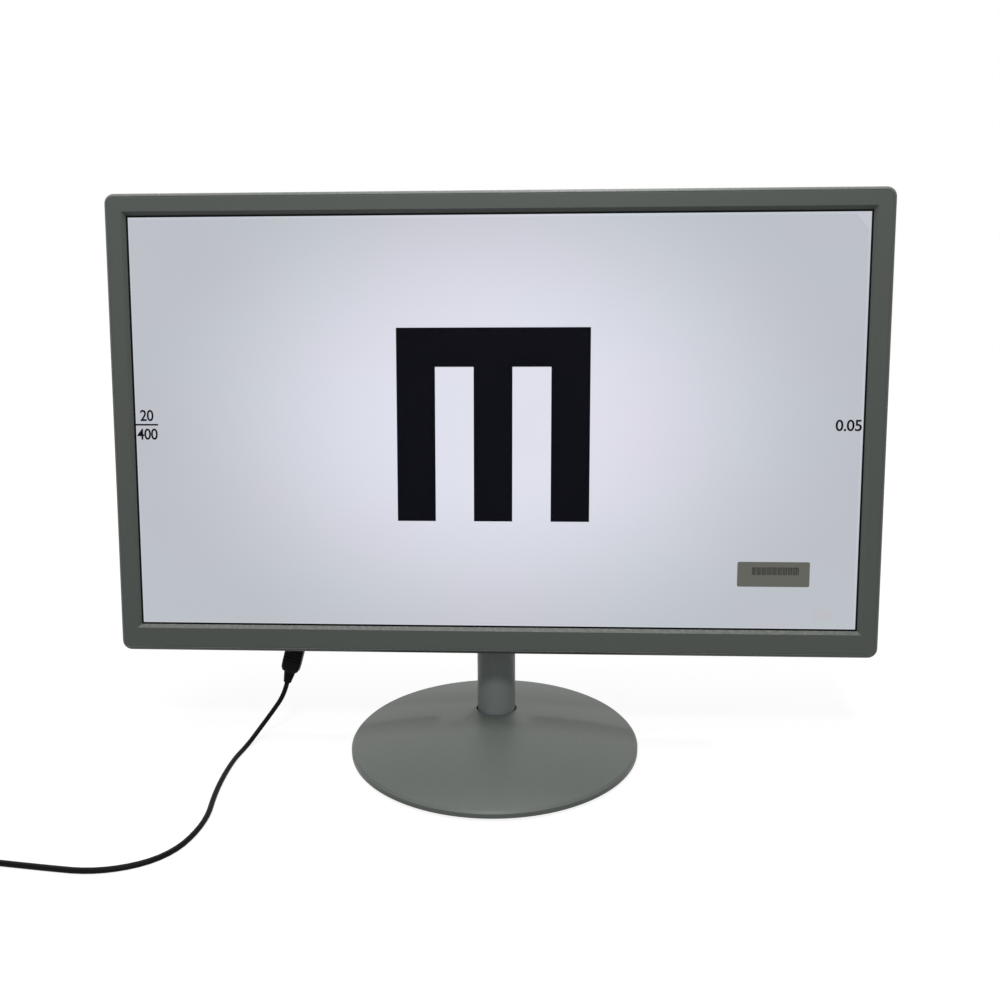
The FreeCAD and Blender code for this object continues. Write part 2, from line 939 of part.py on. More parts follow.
def make_bracket_screws():
    shapes = []
    length = bracket_far - chassis_far
    for across, up in bracket_spots():
        at = vector(across, bracket_far, up)
        shapes.append(head_shape(screw(size.bracket_screw, length, at, (0, -1, 0))))
    return group("bracket_screws", shapes)


# Head shell: a front bezel round the screen and a rear cover with a bulge for the electronics

open_half = size.active_width / 2 + size.black_rim
open_up = size.active_height / 2 + size.black_rim
skin_back = size.bezel_skin - size.bezel_front


def make_front_bezel():
    body = new_body("front_bezel")
    on_head(body)
    outer = slab(
        body,
        -size.bezel_front,
        size.bezel_rear,
        rectangle(-half_width, half_width, -head_below, head_above, size.corner_radius),
    )
    front = -float(size.bezel_front)
    round_off(body, outer, size.bezel_round, lambda m, e: abs(m.y - front) < 1e-3)
    inner = size.corner_radius - size.bezel_wall
    cut(
        body,
        skin_back,
        size.bezel_rear,
        rectangle(
            size.bezel_wall - half_width,
            half_width - size.bezel_wall,
            size.bezel_wall - head_below,
            head_above - size.bezel_wall,
            inner,
        ),
    )
    wide = open_half + size.bezel_slope
    tall = open_up + size.bezel_slope
    loft(
        body,
        "PartDesign::SubtractiveLoft",
        [
            (-size.bezel_front, rectangle(-wide, wide, -tall, tall)),
            (skin_back, rectangle(-open_half, open_half, -open_up, open_up)),
        ],
    )
    posts = sketch_on(body, "XZ_Plane", -skin_back)
    pilots = sketch_on(body, "XZ_Plane", -size.bezel_rear)
    for across, up in cover_spots():
        circle_outline(posts, across, up, size.screw_post)
        circle_outline(pilots, across, up, size.cover_screw)
    pad(body, posts, inner_back - skin_back, backward=True)
    body.Tip = pocket(body, pilots, inner_back - size.bezel_rear)
    return body


inner_back = size.back_depth - size.back_wall
bulge_floor = size.bulge_depth - size.back_wall
vent_low = size.bulge_top - size.bulge_slope - size.bulge_round - size.vent_length


def make_rear_cover():
    body = new_body("rear_cover")
    on_head(body)
    shell = slab(
        body,
        size.bezel_rear,
        size.back_depth,
        rectangle(-half_width, half_width, -head_below, head_above, size.corner_radius),
    )
    back = float(size.back_depth)
    round_off(body, shell, size.back_round, lambda m, e: abs(m.y - back) < 1e-3)
    wall = size.back_wall
    cut(
        body,
        size.bezel_rear,
        inner_back,
        rectangle(
            wall - half_width,
            half_width - wall,
            wall - head_below,
            head_above - wall,
            size.corner_radius - wall,
        ),
    )
    windows = sketch_on(body, "XZ_Plane", -inner_back)
    outer_side = size.bulge_half - size.window_edge
    inner_side = size.channel_half + size.back_wall * 2
    for left, right in ((-outer_side, -inner_side), (inner_side, outer_side)):
        box_outline(windows, left, right, window_low, size.bulge_top - size.window_edge)
    pocket(body, windows, wall)
    sketch = sketch_on(body, "XZ_Plane", -inner_back)
    for across, up in bracket_spots():
        circle_outline(sketch, across, up, size.bracket_screw + size.slip)
    pocket(body, sketch, wall)
    keys = sketch_on(body, "XZ_Plane", -inner_back)
    for middle in key_middles():
        reach = size.key_width / 2 + size.key_gap
        tall = size.key_height / 2 + size.key_gap
        box_outline(keys, middle - reach, middle + reach, -key_drop - tall, -key_drop + tall)
    pocket(body, keys, wall)
    screws = sketch_on(body, "XZ_Plane", -inner_back)
    for across, up in cover_spots():
        circle_outline(screws, across, up, size.cover_screw + size.slip)
    body.Tip = pocket(body, screws, wall)
    return body


def make_electronics_cover():
    """The deep moulding over the boards, with the channel that lets the neck through."""
    body = new_body("electronics_cover")
    on_head(body)
    wall = size.back_wall
    loft(
        body,
        "PartDesign::AdditiveLoft",
        [
            (
                size.back_depth,
                rectangle(
                    -size.bulge_half,
                    size.bulge_half,
                    -bulge_bottom,
                    size.bulge_top,
                    size.bulge_corner,
                ),
            ),
            (
                size.bulge_depth,
                rectangle(
                    size.bulge_slope - size.bulge_half,
                    size.bulge_half - size.bulge_slope,
                    -bulge_bottom,
                    size.bulge_top - size.bulge_slope,
                    size.bulge_corner,
                ),
            ),
        ],
    )
    hollow = loft(
        body,
        "PartDesign::SubtractiveLoft",
        [
            (
                size.back_depth,
                rectangle(
                    wall - size.bulge_half,
                    size.bulge_half - wall,
                    wall - bulge_bottom,
                    size.bulge_top - wall,
                    size.bulge_corner,
                ),
            ),
            (
                bulge_floor,
                rectangle(
                    size.bulge_slope - size.bulge_half + wall,
                    size.bulge_half - size.bulge_slope - wall,
                    wall - bulge_bottom,
                    size.bulge_top - size.bulge_slope - wall,
                    size.bulge_corner,
                ),
            ),
        ],
    )
    deep = float(size.bulge_depth)
    round_off(body, hollow, size.bulge_round, lambda m, e: abs(m.y - deep) < 1e-3)
    channel_wall = size.channel_half + wall
    slab(
        body,
        size.back_depth,
        size.bulge_depth,
        rectangle(-channel_wall, channel_wall, -bulge_bottom, wall - size.channel_top),
    )
    cut(
        body,
        inner_back,
        size.bulge_depth * 2,
        rectangle(
            -size.channel_half,
            size.channel_half,
            -head_below * 2,
            -size.channel_top,
        ),
    )
    posts = sketch_on(body, "XZ_Plane", -size.bulge_depth + wall / 2)
    for across, up in vesa_spots():
        circle_outline(posts, across, up, size.insert_radius + size.back_wall)
    pad(body, posts, size.insert_length)
    seats = sketch_on(body, "XZ_Plane", -size.bulge_depth)
    for across, up in vesa_spots():
        circle_outline(seats, across, up, size.insert_radius)
    pocket(body, seats, size.insert_length, backward=True)
    slots = sketch_on(body, "XZ_Plane", -size.bulge_depth)
    first = -size.vent_pitch * (size.vent_count - 1) / 2
    box_outline(
        slots,
        first - size.vent_width / 2,
        first + size.vent_width / 2,
        vent_low,
        vent_low + size.vent_length,
    )
    vent = pocket(body, slots, size.bulge_round + size.back_wall, backward=True)
    row_of(body, [vent], size.vent_pitch, int(float(size.vent_count)))
    posts = sketch_on(body, "XZ_Plane", -anchor_root)
    wells = sketch_on(body, "XZ_Plane", -size.bulge_depth)
    holes = sketch_on(body, "XZ_Plane", -size.bulge_depth)
    for across, up in anchor_spots():
        circle_outline(posts, across, up, size.anchor_post)
        circle_outline(wells, across, up, size.cover_screw * SINK_WIDE)
        circle_outline(holes, across, up, size.cover_screw + size.slip)
    pad(body, posts, anchor_root - size.back_depth)
    pocket(body, wells, size.bulge_depth - anchor_seat, backward=True)
    pocket(body, holes, size.bulge_depth - inner_back, backward=True)
    for left in tab_lefts():
        tab = sketch_on(body, "YZ_Plane", left)
        tab_outline(tab)
        pad(body, tab, size.tab_width)
    mouths = sketch_on(body, "XY_Plane", -bulge_bottom)
    for middle, depth, wide, deep in socket_mouths():
        box_outline(mouths, middle - wide / 2, middle + wide / 2, depth - deep / 2, depth + deep / 2)
    body.Tip = pocket(body, mouths, wall, backward=True)
    return body


# Two deep screws beside the vents and four hooked tabs along the lower edge hold the deep moulding
anchor_seat = size.back_depth + size.back_wall
anchor_root = size.bulge_depth - size.back_wall / 2
window_low = size.back_wall * 2 - bulge_bottom


def anchor_spots():
    reach = size.vent_pitch * size.vent_count / 2 + size.anchor_gap
    for across in (-reach, reach):
        yield across, vent_low + size.vent_length / 2


def tab_lefts():
    """Left side of each tab."""
    for middle in (size.bulge_half - size.tab_in, size.channel_half + size.tab_out):
        yield -middle - size.tab_width / 2
        yield middle - size.tab_width / 2


def tab_outline(sketch):
    """A tab that goes through the window's lower edge and hooks behind it."""
    thick = size.tab_thick
    leg = window_low + size.slip
    tip = window_low - size.tab_reach
    hook = inner_back - size.slip / 3
    root = size.back_depth + size.slip / 3
    polygon(
        sketch,
        [
            (hook - thick, tip),
            (hook, tip),
            (hook, leg),
            (root, leg),
            (root, tip),
            (root + thick, tip),
            (root + thick, leg + thick),
            (hook - thick, leg + thick),
        ],
    )


def make_anchor_screws():
    shapes = []
    for across, up in anchor_spots():
        at = vector(across, anchor_seat, up)
        shapes.append(head_shape(screw(size.cover_screw, anchor_seat - chassis_far, at, (0, -1, 0))))
    return group("anchor_screws", shapes)


jack_across = size.bulge_half - size.jack_in
jack_back = size.board_depth + size.board_thick + size.jack_thick / 2
board_gap = size.channel_half + size.back_wall + size.board_room
board_out = size.bulge_half - size.board_in

# The sockets spread out or close up with the room between the power socket and the board's inner edge
socket_spread = (jack_across - board_gap) / size.socket_room
hdmi_across = jack_across - size.socket_first * socket_spread
usb_across = hdmi_across - size.socket_pitch * socket_spread
SOCKETS = {
    "hdmi_socket": (-hdmi_across, size.hdmi_width, size.hdmi_tall, size.hdmi_deep),
    "usb_socket": (-usb_across, size.usb_width, size.usb_tall, size.usb_deep),
}


def socket_mouths():
    """Middle, depth, width and height of each hole in the bottom wall of the bulge."""
    yield -jack_across, jack_back, size.plug_width + size.plug_room, size.plug_thick + size.plug_room
    for across, wide, _, deep in SOCKETS.values():
        yield across, size.board_depth - deep / 2, wide + size.slip * 2, deep + size.slip * 2


def vesa_spots():
    """The four threaded inserts for a wall bracket, in the head's frame."""
    half = size.vesa_pitch / 2
    for across in (-half, half):
        for up in (-half, half):
            yield across, up - size.vesa_middle


def key_middles():
    first = half_width - size.key_in - size.key_pitch * (size.key_count - 1)
    for number in range(int(float(size.key_count))):
        yield first + size.key_pitch * number


def cover_spots():
    """Screws of the rear cover, close round the module, in the head's frame."""
    room = size.tray_thick + size.post_room + size.screw_post
    for across in (-frame_half - room, frame_half + room):
        yield across, frame_up + room
        yield across, size.post_lift - head_below
    yield dim(0), frame_up + room


def make_vesa_inserts():
    shapes = []
    for across, up in vesa_spots():
        at = vector(across, size.bulge_depth, up)
        profile = [
            (size.insert_bore, 0),
            (size.insert_radius, 0),
            (size.insert_radius, size.insert_length - size.insert_floor),
            (size.insert_bore, size.insert_length - size.insert_floor),
        ]
        shapes.append(head_shape(turned(profile, at, (0, -1, 0))))
    return group("vesa_inserts", shapes)


def make_cover_screws():
    shapes = []
    for across, up in cover_spots():
        at = vector(across, size.back_depth, up)
        length = size.back_depth - size.bezel_rear
        shapes.append(head_shape(screw(size.cover_screw, length, at, (0, -1, 0))))
    return group("cover_screws", shapes)


# Panel: glass, films, light guide and their frame and tray, as a display module is stacked

films_near = size.glass_thick + size.slip
guide_near = films_near + size.sheet_thick
reflector_near = guide_near + size.guide_thick
tray_near = reflector_near + size.reflector_thick
tray_far = tray_near + size.tray_thick
stack_half = glass_half - size.glass_over / 2
stack_up = glass_up - size.glass_over / 2
chassis_far = tray_far + size.chassis_thick


def sheet_piece(label, near, far, half, up, low=None):
    body = new_body(label)
    on_head(body)
    bottom = -up if low is None else low
    body.Tip = slab(body, near, far, rectangle(-half, half, bottom, up))
    return body


def make_screen_film():
    """The clear protective film, with one corner cut off."""
    body = new_body("screen_film")
    on_head(body)
    half = open_half - size.film_inset
    up = open_up - size.film_inset
    sketch = sketch_on(body, "XZ_Plane", size.film_thick)
    polygon(
        sketch,
        [
            (-half, -up),
            (half, -up),
            (half, up - size.film_cut_side),
            (half - size.film_cut, up),
            (-half, up),
        ],
    )
    body.Tip = pad(body, sketch, size.film_thick, backward=True)
    return body


def make_module_frame():
    body = new_body("module_frame")
    on_head(body)
    slab(body, 0, tray_near, rectangle(-frame_half, frame_half, -frame_up, frame_up))
    rim = size.slip
    cut(
        body,
        0,
        films_near,
        rectangle(-glass_half - rim, glass_half + rim, -glass_up - rim, glass_up + rim),
    )
    body.Tip = cut(
        body,
        0,
        tray_far,
        rectangle(-stack_half, stack_half, -stack_up, stack_up),
    )
    return body


def make_module_tray():
    body = new_body("module_tray")
    on_head(body)
    out = size.tray_thick
    slab(
        body,
        films_near,
        tray_far,
        rectangle(-frame_half - out, frame_half + out, -frame_up - out, frame_up + out),
    )
    body.Tip = cut(body, films_near, tray_near, rectangle(-frame_half, frame_half, -frame_up, frame_up))
    return body


strip_thick = size.sheet_thick * 2
led_thick = size.sheet_thick


def make_led_bar():
    """A board strip on edge along the bottom of the light guide, with a row of lamps."""
    wide = float(stack_half - size.strip_end)
    low = float(-stack_up)
    near = float(guide_near)
    tall = float(size.guide_thick)
    edge = float(size.lamp_edge)
    lamp = float(size.lamp_width)
    strip = Part.makeBox(2 * wide, tall, float(strip_thick), FreeCAD.Vector(-wide, near, low))
    lamps = []
    count = int(float(size.lamp_count))
    for number in range(count):
        left = -wide + (number + 0.5) * 2 * wide / count - lamp / 2
        spot = FreeCAD.Vector(left, near + edge, low + float(strip_thick))
        lamps.append(Part.makeBox(lamp, tall - edge * 2, float(led_thick), spot))
    return group("led_bar", [head_shape(strip.multiFuse(lamps))])


def make_chassis_plate():
    """The pressed plate behind the panel, with pillars for the boards and bushes for the bracket."""
    body = new_body("chassis_plate")
    on_head(body)
    edge = size.chassis_in
    wide = size.bulge_half - edge
    slab(body, tray_far, chassis_far, rectangle(-wide, wide, edge - bulge_bottom, size.bulge_top - edge))
    bushes = sketch_on(body, "XZ_Plane", -chassis_far)
    for across, up in bracket_spots():
        circle_outline(bushes, across, up, size.bracket_screw * 2)
    pad(body, bushes, inner_back - chassis_far, backward=True)
    threads = sketch_on(body, "XZ_Plane", -chassis_far)
    for across, up in bracket_spots():
        circle_outline(threads, across, up, size.bracket_screw)
    pocket(body, threads, inner_back - chassis_far)
    stands = sketch_on(body, "XZ_Plane", -chassis_far)
    bores = sketch_on(body, "XZ_Plane", -chassis_far)
    for across, up in anchor_spots():
        circle_outline(stands, across, up, size.anchor_post)
        circle_outline(bores, across, up, size.cover_screw)
    pad(body, stands, size.back_depth - chassis_far, backward=True)
    pocket(body, bores, size.back_depth - chassis_far)
    pillars = sketch_on(body, "XZ_Plane", -chassis_far)
    for spots in (main_board_spots(), power_board_spots()):
        for across, up in spots:
            circle_outline(pillars, across, up, size.insert_radius)
    pad(body, pillars, size.board_depth - chassis_far, backward=True)
    taps = sketch_on(body, "XZ_Plane", -size.board_depth)
    for spots in (main_board_spots(), power_board_spots()):
        for across, up in spots:
            circle_outline(taps, across, up, size.cover_screw)
    body.Tip = pocket(body, taps, size.board_depth - chassis_far - size.chassis_thick * 2, backward=True)
    return body


# Boards: the picture board with the sockets on the left, the lamp driver on the right

board_low = window_low
main_board_high = size.bulge_top - size.main_board_in
power_board_high = size.bulge_top - size.power_board_in


def corner_spots(left, right, low, high):
    inset = size.insert_radius * 1.5
    for across in (left + inset, right - inset):
        for up in (low + inset, high - inset):
            yield across, up


def main_board_spots():
    return corner_spots(-board_out, -board_gap, board_low, main_board_high)


def power_board_spots():
    return corner_spots(board_gap, board_out, board_low, power_board_high)


def board(label, left, right, low, high, spots, tall_parts):
    """A circuit board with screw holes and its tallest parts, placed by shares of its width and height."""
    near = size.board_depth
    thick = size.board_thick
    sheet_shape = Part.makeBox(float(right - left), float(thick), float(high - low), vector(left, near, low))
    for across, up in spots:
        hole = Part.makeCylinder(
            float(size.cover_screw + size.slip),
            float(thick * 2),
            vector(across, near - thick / 2, up),
            FreeCAD.Vector(0, 1, 0),
        )
        sheet_shape = sheet_shape.cut(hole)
    extras = []
    for x, z, wide, tall, deep in tall_parts:
        corner = vector(left + (right - left) * x, near + thick, low + (high - low) * z)
        extras.append(Part.makeBox(float(wide), float(deep), float(tall), corner))
    return group(label, [head_shape(sheet_shape.multiFuse(extras))])


def make_main_board():
    tall_parts = [
        (0.31, 0.39, size.chip_width, size.chip_width, size.chip_thick),
        (0.62, 0.42, size.chip_width / 2, size.chip_width / 2, size.chip_thick / 2),
        (0.23, 0.67, size.strip_width, size.strip_tall, size.strip_tall),
        (0.74, 0.17, size.tank_width, size.tank_tall, size.tank_deep),
    ]
    return board(
        "main_board", -board_out, -board_gap, board_low, main_board_high, main_board_spots(), tall_parts
    )


def make_power_board():
    tall_parts = [
        (0.15, 0.25, size.coil_width, size.coil_width, size.coil_tall),
        (0.46, 0.33, size.coil_width, size.coil_width, size.coil_tall),
        (0.19, 0.74, size.strip_width, size.strip_tall, size.strip_tall),
        (0.72, 0.16, size.tank_width, size.tank_tall, size.tank_deep),
    ]
    return board(
        "power_board", board_gap, board_out, board_low, power_board_high, power_board_spots(), tall_parts
    )


def make_board_screws():
    shapes = []
    for spots in (main_board_spots(), power_board_spots()):
        for across, up in spots:
            at = vector(across, size.board_depth + size.board_thick, up)
            length = size.board_thick + size.board_bite
            shapes.append(head_shape(screw(size.cover_screw, length, at, (0, -1, 0))))
    return group("board_screws", shapes)


# Keys: five small push keys in the back of the rim, on a strip with their switches

key_seat = inner_back - size.key_travel - size.slip
key_far = size.back_depth + size.key_proud
key_board_far = key_seat - size.board_thick * 1.5
key_names = ("key_power", "key_menu", "key_up", "key_down", "key_input")


def make_key(label, middle):
    """A key with a flange behind the wall that keeps it in its slot."""
    body = new_body(label)
    on_head(body)
    reach = size.key_width / 2
    tall = size.key_height / 2
    lip = size.key_gap * 4
    slab(
        body,
        key_seat,
        key_far,
        rectangle(
            middle - reach,
            middle + reach,
            -key_drop - tall,
            -key_drop + tall,
            size.key_height / 4,
        ),
    )
    body.Tip = slab(
        body,
        key_seat,
        inner_back - size.slip / 3,
        rectangle(
            middle - reach - lip,
            middle + reach + lip,
            -key_drop - tall - lip / 2,
            -key_drop + tall + lip / 2,
        ),
    )
    return body


def make_key_board():
    """The strip behind the keys, with one switch under each."""
    middles = [float(n) for n in key_middles()]
    left = middles[0] - float(size.key_pitch) / 2
    right = middles[-1] + float(size.key_pitch) / 2
    tall = float(size.key_height)
    thick = float(size.board_thick)
    back = float(key_board_far)
    low = -float(key_drop) - tall / 2
    strip = Part.makeBox(right - left, thick, tall, FreeCAD.Vector(left, back - thick, low))
    switches = []
    stem = float(key_seat - size.key_travel) - back - float(size.slip) / 3
    side = float(size.lamp_width)
    for middle in middles:
        corner = FreeCAD.Vector(middle - side / 2, back, low + tall / 2 - side / 2)
        switches.append(Part.makeBox(side, stem, side, corner))
    return group("key_board", [head_shape(strip.multiFuse(switches))])


# Sockets and plug: the power lead hangs from a socket at the left of the bulge

def from_jack(shape):
    """Carry a shape drawn along -Z from the mouth of the power socket to its leaning place."""
    move = FreeCAD.Placement(
        vector(-jack_across, jack_back, -bulge_bottom),
        FreeCAD.Rotation(FreeCAD.Vector(0, 1, 0), float(size.jack_lean)),
    )
    shape.Placement = move.multiply(shape.Placement)
    return head_shape(shape)


def make_dc_jack():
    wide = float(size.jack_width)
    thick = float(size.jack_thick)
    low = float(size.jack_sunk)
    corner = FreeCAD.Vector(-wide / 2, -thick / 2, low)
    case = Part.makeBox(wide, thick, float(size.jack_length), corner)
    deep = float(size.nose_length + size.jack_sunk)
    hole = Part.makeCylinder(float(size.jack_bore), deep)
    return group("dc_jack", [from_jack(case.cut(hole))])


def make_dc_plug():
    """A moulded plug with a metal nose, a stepped shoulder and a ribbed relief for the lead."""
    wide = float(size.plug_width) / 2
    thick = float(size.plug_thick) / 2
    long = float(size.plug_length)
    body = rounded_loft(
        [
            (-float(size.slip), wide * 0.82, thick * 0.92),
            (-float(size.plug_shoulder), wide * 0.94, thick),
            (-long * 0.72, wide, thick),
            (-long, wide * 0.62, thick * 0.72),
        ]
    )
    start = -float(size.slip)
    bore_radius = float(size.jack_bore - size.pin_fit)
    nose = Part.makeCylinder(bore_radius, float(size.nose_length) - start, FreeCAD.Vector(0, 0, start))
    tail = Part.makeCone(
        float(size.relief_radius) * 0.8,
        float(size.relief_radius),
        float(size.relief_length),
        FreeCAD.Vector(0, 0, -long - float(size.relief_length)),
    )
    return group("dc_plug", [from_jack(body.multiFuse([nose, tail]))])


def rounded_loft(stations):
    """A loft down -Z through rounded rectangles of half width and half depth."""
    wires = []
    for height, wide, deep in stations:
        r = min(wide, deep) / 2
        x = wide - r
        y = deep - r
        edges = []
        previous = None
        first = None
        for corner, (side, end) in enumerate(((1, -1), (1, 1), (-1, 1), (-1, -1))):
            middle = FreeCAD.Vector(x * side, y * end, height)
            arc = corner_arc(Part.Circle(middle, FreeCAD.Vector(0, 0, 1), r), corner)
            start = arc.StartPoint
            if previous is not None:
                edges.append(Part.LineSegment(previous, start).toShape())
            else:
                first = start
            edges.append(arc.toShape())
            previous = arc.EndPoint
        edges.append(Part.LineSegment(previous, first).toShape())
        wires.append(Part.Wire(edges))
    return Part.makeLoft(wires, True, True)


def make_socket(label, across, wide, tall, deep):
    """A sheet metal socket on the picture board, with its mouth in the bottom wall."""
    skin = size.socket_skin
    left = across - wide / 2
    near = size.board_depth - deep
    low = size.socket_sunk - bulge_bottom
    case = Part.makeBox(float(wide), float(deep), float(tall), vector(left, near, low))
    mouth = Part.makeBox(
        float(wide - skin * 2),
        float(deep - skin * 2),
        float(tall - skin),
        vector(left + skin, near + skin, low - skin),
    )
    return group(label, [head_shape(case.cut(mouth))])


# Lead: from the plug down to the table, forward past the foot, then left to a coil and the adapter

plug_tip = from_jack(
    Part.Vertex(0, 0, -float(size.plug_length + size.relief_length))
).Vertexes[0].Point
plug_way = (
    from_jack(Part.Vertex(0, 0, -1)).Vertexes[0].Point - from_jack(Part.Vertex(0, 0, 0)).Vertexes[0].Point
)
on_table = float(size.lead_radius + size.table_gap)
LEAD_EXIT = 10.5
LEAD_FALL = [(-175.0, 7.6, 20.5), (-184.0, 0.8, 8.8)]
LEAD_TABLE = [
    (-189.6, -13.0),
    (-193.0, -38.0),
    (-190.5, -80.0),
    (-182.5, -120.0),
    (-191.5, -158.0),
    (-226.0, -175.0),
    (-268.0, -170.5),
]
FALL_RUN_COUNT = 5

# From the middle of the coil: where the lead goes in, and where its far end comes out
COIL_IN = (10.0, 22.0)
COIL_OUT = [(-22.0, -8.0), (-22.6, -32.0)]
TAIL_RUN = 14.0
COIL_EDGE = 0.4


def bent_edges(points):
    """Straight runs joined by tangent arcs, each as large as its two runs allow."""
    edges = []
    start = points[0]
    for before, at, after in zip(points, points[1:], points[2:]):
        come = (at - before).normalize()
        go = (after - at).normalize()
        reach = 0.45 * min((at - before).Length, (after - at).Length)
        half = come.getAngle(go) / 2
        radius = reach / math.tan(half)
        inward = (go - come).normalize()
        middle = at + inward * (radius / math.cos(half) - radius)
        first = at - come * reach
        last = at + go * reach
        edges.append(Part.LineSegment(start, first).toShape())
        edges.append(Part.Arc(first, middle, last).toShape())
        start = last
        print(f"bend of radius {radius:.1f} mm")
    edges.append(Part.LineSegment(start, points[-1]).toShape())
    return edges


def tube(edges):
    """A round lead along a path, with its volume compared with its section times its length."""
    radius = float(size.lead_radius)
    path = Part.Wire(edges)
    begin = edges[0]
    ring = Part.Circle(begin.valueAt(begin.FirstParameter), begin.tangentAt(begin.FirstParameter), radius)
    solid = path.makePipeShell([Part.Wire(ring.toShape())], True, False)
    share = solid.Volume / (math.pi * radius ** 2 * path.Length)
    print(f"lead of {path.Length:.1f} mm, volume share {share:.4f}")
    return solid


def split_line(edge):
    """The two halves of a straight edge."""
    first = edge.Vertexes[0].Point
    last = edge.Vertexes[1].Point
    middle = (first + last) / 2
    return Part.LineSegment(first, middle).toShape(), Part.LineSegment(middle, last).toShape()


coil_middle = FreeCAD.Vector(-float(size.coil_left), -float(size.coil_front), 0)
adapter_end = -float(size.coil_front + size.adapter_ahead)
adapter_middle = -float(size.coil_left + size.adapter_out)
relief_rise = float(size.relief_radius + size.relief_lift)


def make_lead():
    radius = float(size.coil_radius)
    thick = float(size.coil_bundle)
    points = [plug_tip, plug_tip + plug_way * LEAD_EXIT]
    points += [FreeCAD.Vector(*spot) for spot in LEAD_FALL]
    points += [FreeCAD.Vector(x, y, on_table) for x, y in LEAD_TABLE]
    points.append(coil_middle + FreeCAD.Vector(*COIL_IN, on_table))
    edges = bent_edges(points)
    upper, lower = split_line(edges[2 * FALL_RUN_COUNT])
    edge = thick * COIL_EDGE
    coil = turned(
        [
            (radius - thick, edge),
            (radius - thick + edge, 0),
            (radius + thick - edge, 0),
            (radius + thick, edge),
            (radius + thick, 2 * thick - edge),
            (radius + thick - edge, 2 * thick),
            (radius - thick + edge, 2 * thick),
            (radius - thick, 2 * thick - edge),
        ],
        coil_middle,
        (0, 0, 1),
    )
    socket = adapter_end + float(size.relief_out)
    tail = [coil_middle + FreeCAD.Vector(x, y, on_table) for x, y in COIL_OUT]
    tail.append(FreeCAD.Vector(adapter_middle, socket + TAIL_RUN, relief_rise))
    tail.append(FreeCAD.Vector(adapter_middle, socket, relief_rise))
    return [
        group("lead_drop", [tube(edges[: 2 * FALL_RUN_COUNT] + [upper])]),
        group("lead_floor", [tube([lower] + edges[2 * FALL_RUN_COUNT + 1 :]).cut(coil)]),
        group("lead_coil", [coil]),
        group("lead_tail", [tube(bent_edges(tail)).cut(coil)]),
    ]


def make_power_adapter():
    """The plug-top supply at the far end of the lead, lying on its side."""
    body = new_body("power_adapter")
    place(body, adapter_middle, adapter_end, 0)
    half = size.adapter_width / 2
    sketch = sketch_on(body, "XZ_Plane")
    round_outline(sketch, -half, half, 0, size.adapter_tall, size.adapter_round)
    pad(body, sketch, size.adapter_length)
    relief = sketch_on(body, "XZ_Plane", -size.relief_out)
    circle_outline(relief, 0, size.relief_radius + size.relief_lift, size.relief_radius)
    pad(body, relief, size.relief_out + size.adapter_round)
    block = sketch_on(body, "YZ_Plane", -half - size.block_proud)
    far = size.block_in - size.adapter_length
    round_outline(
        block,
        far,
        far + size.block_length,
        size.adapter_round,
        size.adapter_tall - size.adapter_round,
        size.block_round,
    )
    body.Tip = pad(body, block, size.block_proud * 2)
    return body


def make_adapter_prongs():
    shapes = []
    half = float(size.prong_pitch) / 2
    face = adapter_middle - float(size.adapter_width / 2 + size.block_proud)
    middle = adapter_end - float(size.adapter_length - size.block_in - size.block_length / 2)
    for rise in (-half, half):
        at = FreeCAD.Vector(face, middle, float(size.adapter_tall) / 2 + rise)
        long = float(size.prong_length)
        r = float(size.prong_radius)
        shapes.append(turned([(0, 0), (r, 0), (r, long - r), (r / 2, long), (0, long)], at, (-1, 0, 0)))
    return group("adapter_prongs", shapes)


SUBPARTS = [
    make_base_cover,
    make_base_plate,
    make_base_pads,
    make_base_screws,
    make_neck_tube,
    make_flange_screws,
    make_neck_sleeve,
    make_neck_cap,
    make_hinge_barrel,
    make_friction_washers,
    make_hinge_bolt,
    make_hinge_nut,
    make_hinge_bracket,
    make_bracket_screws,
    make_front_bezel,
    make_rear_cover,
    make_electronics_cover,
    make_vesa_inserts,
    make_cover_screws,
    make_anchor_screws,
    make_screen_film,
    make_module_frame,
    make_module_tray,
    make_led_bar,
    make_chassis_plate,
    make_main_board,
    make_power_board,
    make_board_screws,
    make_key_board,
    make_dc_jack,
    make_dc_plug,
]

parts = [make() for make in SUBPARTS]
parts.append(sheet_piece("lcd_glass", 0, size.glass_thick, glass_half, glass_up))
parts.append(
    sheet_piece("optical_films", films_near, guide_near, stack_half - size.slip, stack_up - size.slip)
)
parts.append(
    sheet_piece(
        "light_guide",
        guide_near,
        reflector_near,
        stack_half - size.slip,
        stack_up - size.slip,
        strip_thick + led_thick + size.slip - stack_up,
    )
)
parts.append(
    sheet_piece("reflector_sheet", reflector_near, tray_near, stack_half - size.slip, stack_up - size.slip)
)
for name, middle in zip(key_names, key_middles()):
    parts.append(make_key(name, middle))
for name, (across, wide, tall, deep) in SOCKETS.items():
    parts.append(make_socket(name, across, wide, tall, deep))
parts.extend(make_lead())
parts.append(make_power_adapter())
parts.append(make_adapter_prongs())

doc.recompute()

failed = []
for thing in doc.Objects:
    if "Invalid" in thing.State or "Error" in thing.State:
        failed.append(f"{thing.Label}: {thing.State}")
for piece in parts:
    if piece.Shape.isNull() or not piece.Shape.isValid():
        failed.append(f"{piece.Label}: no valid shape")
if failed:
    raise SystemExit("failed pieces: " + "; ".join(failed))

os.makedirs("parts", exist_ok=True)
for piece in parts:
    piece.Shape.exportStep(f"parts/{piece.Label}.step")
    print(piece.Label, len(piece.Shape.Solids), round(piece.Shape.Volume, 1))
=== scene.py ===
import json
import math

import bmesh
import bpy
from mathutils import Matrix, Vector


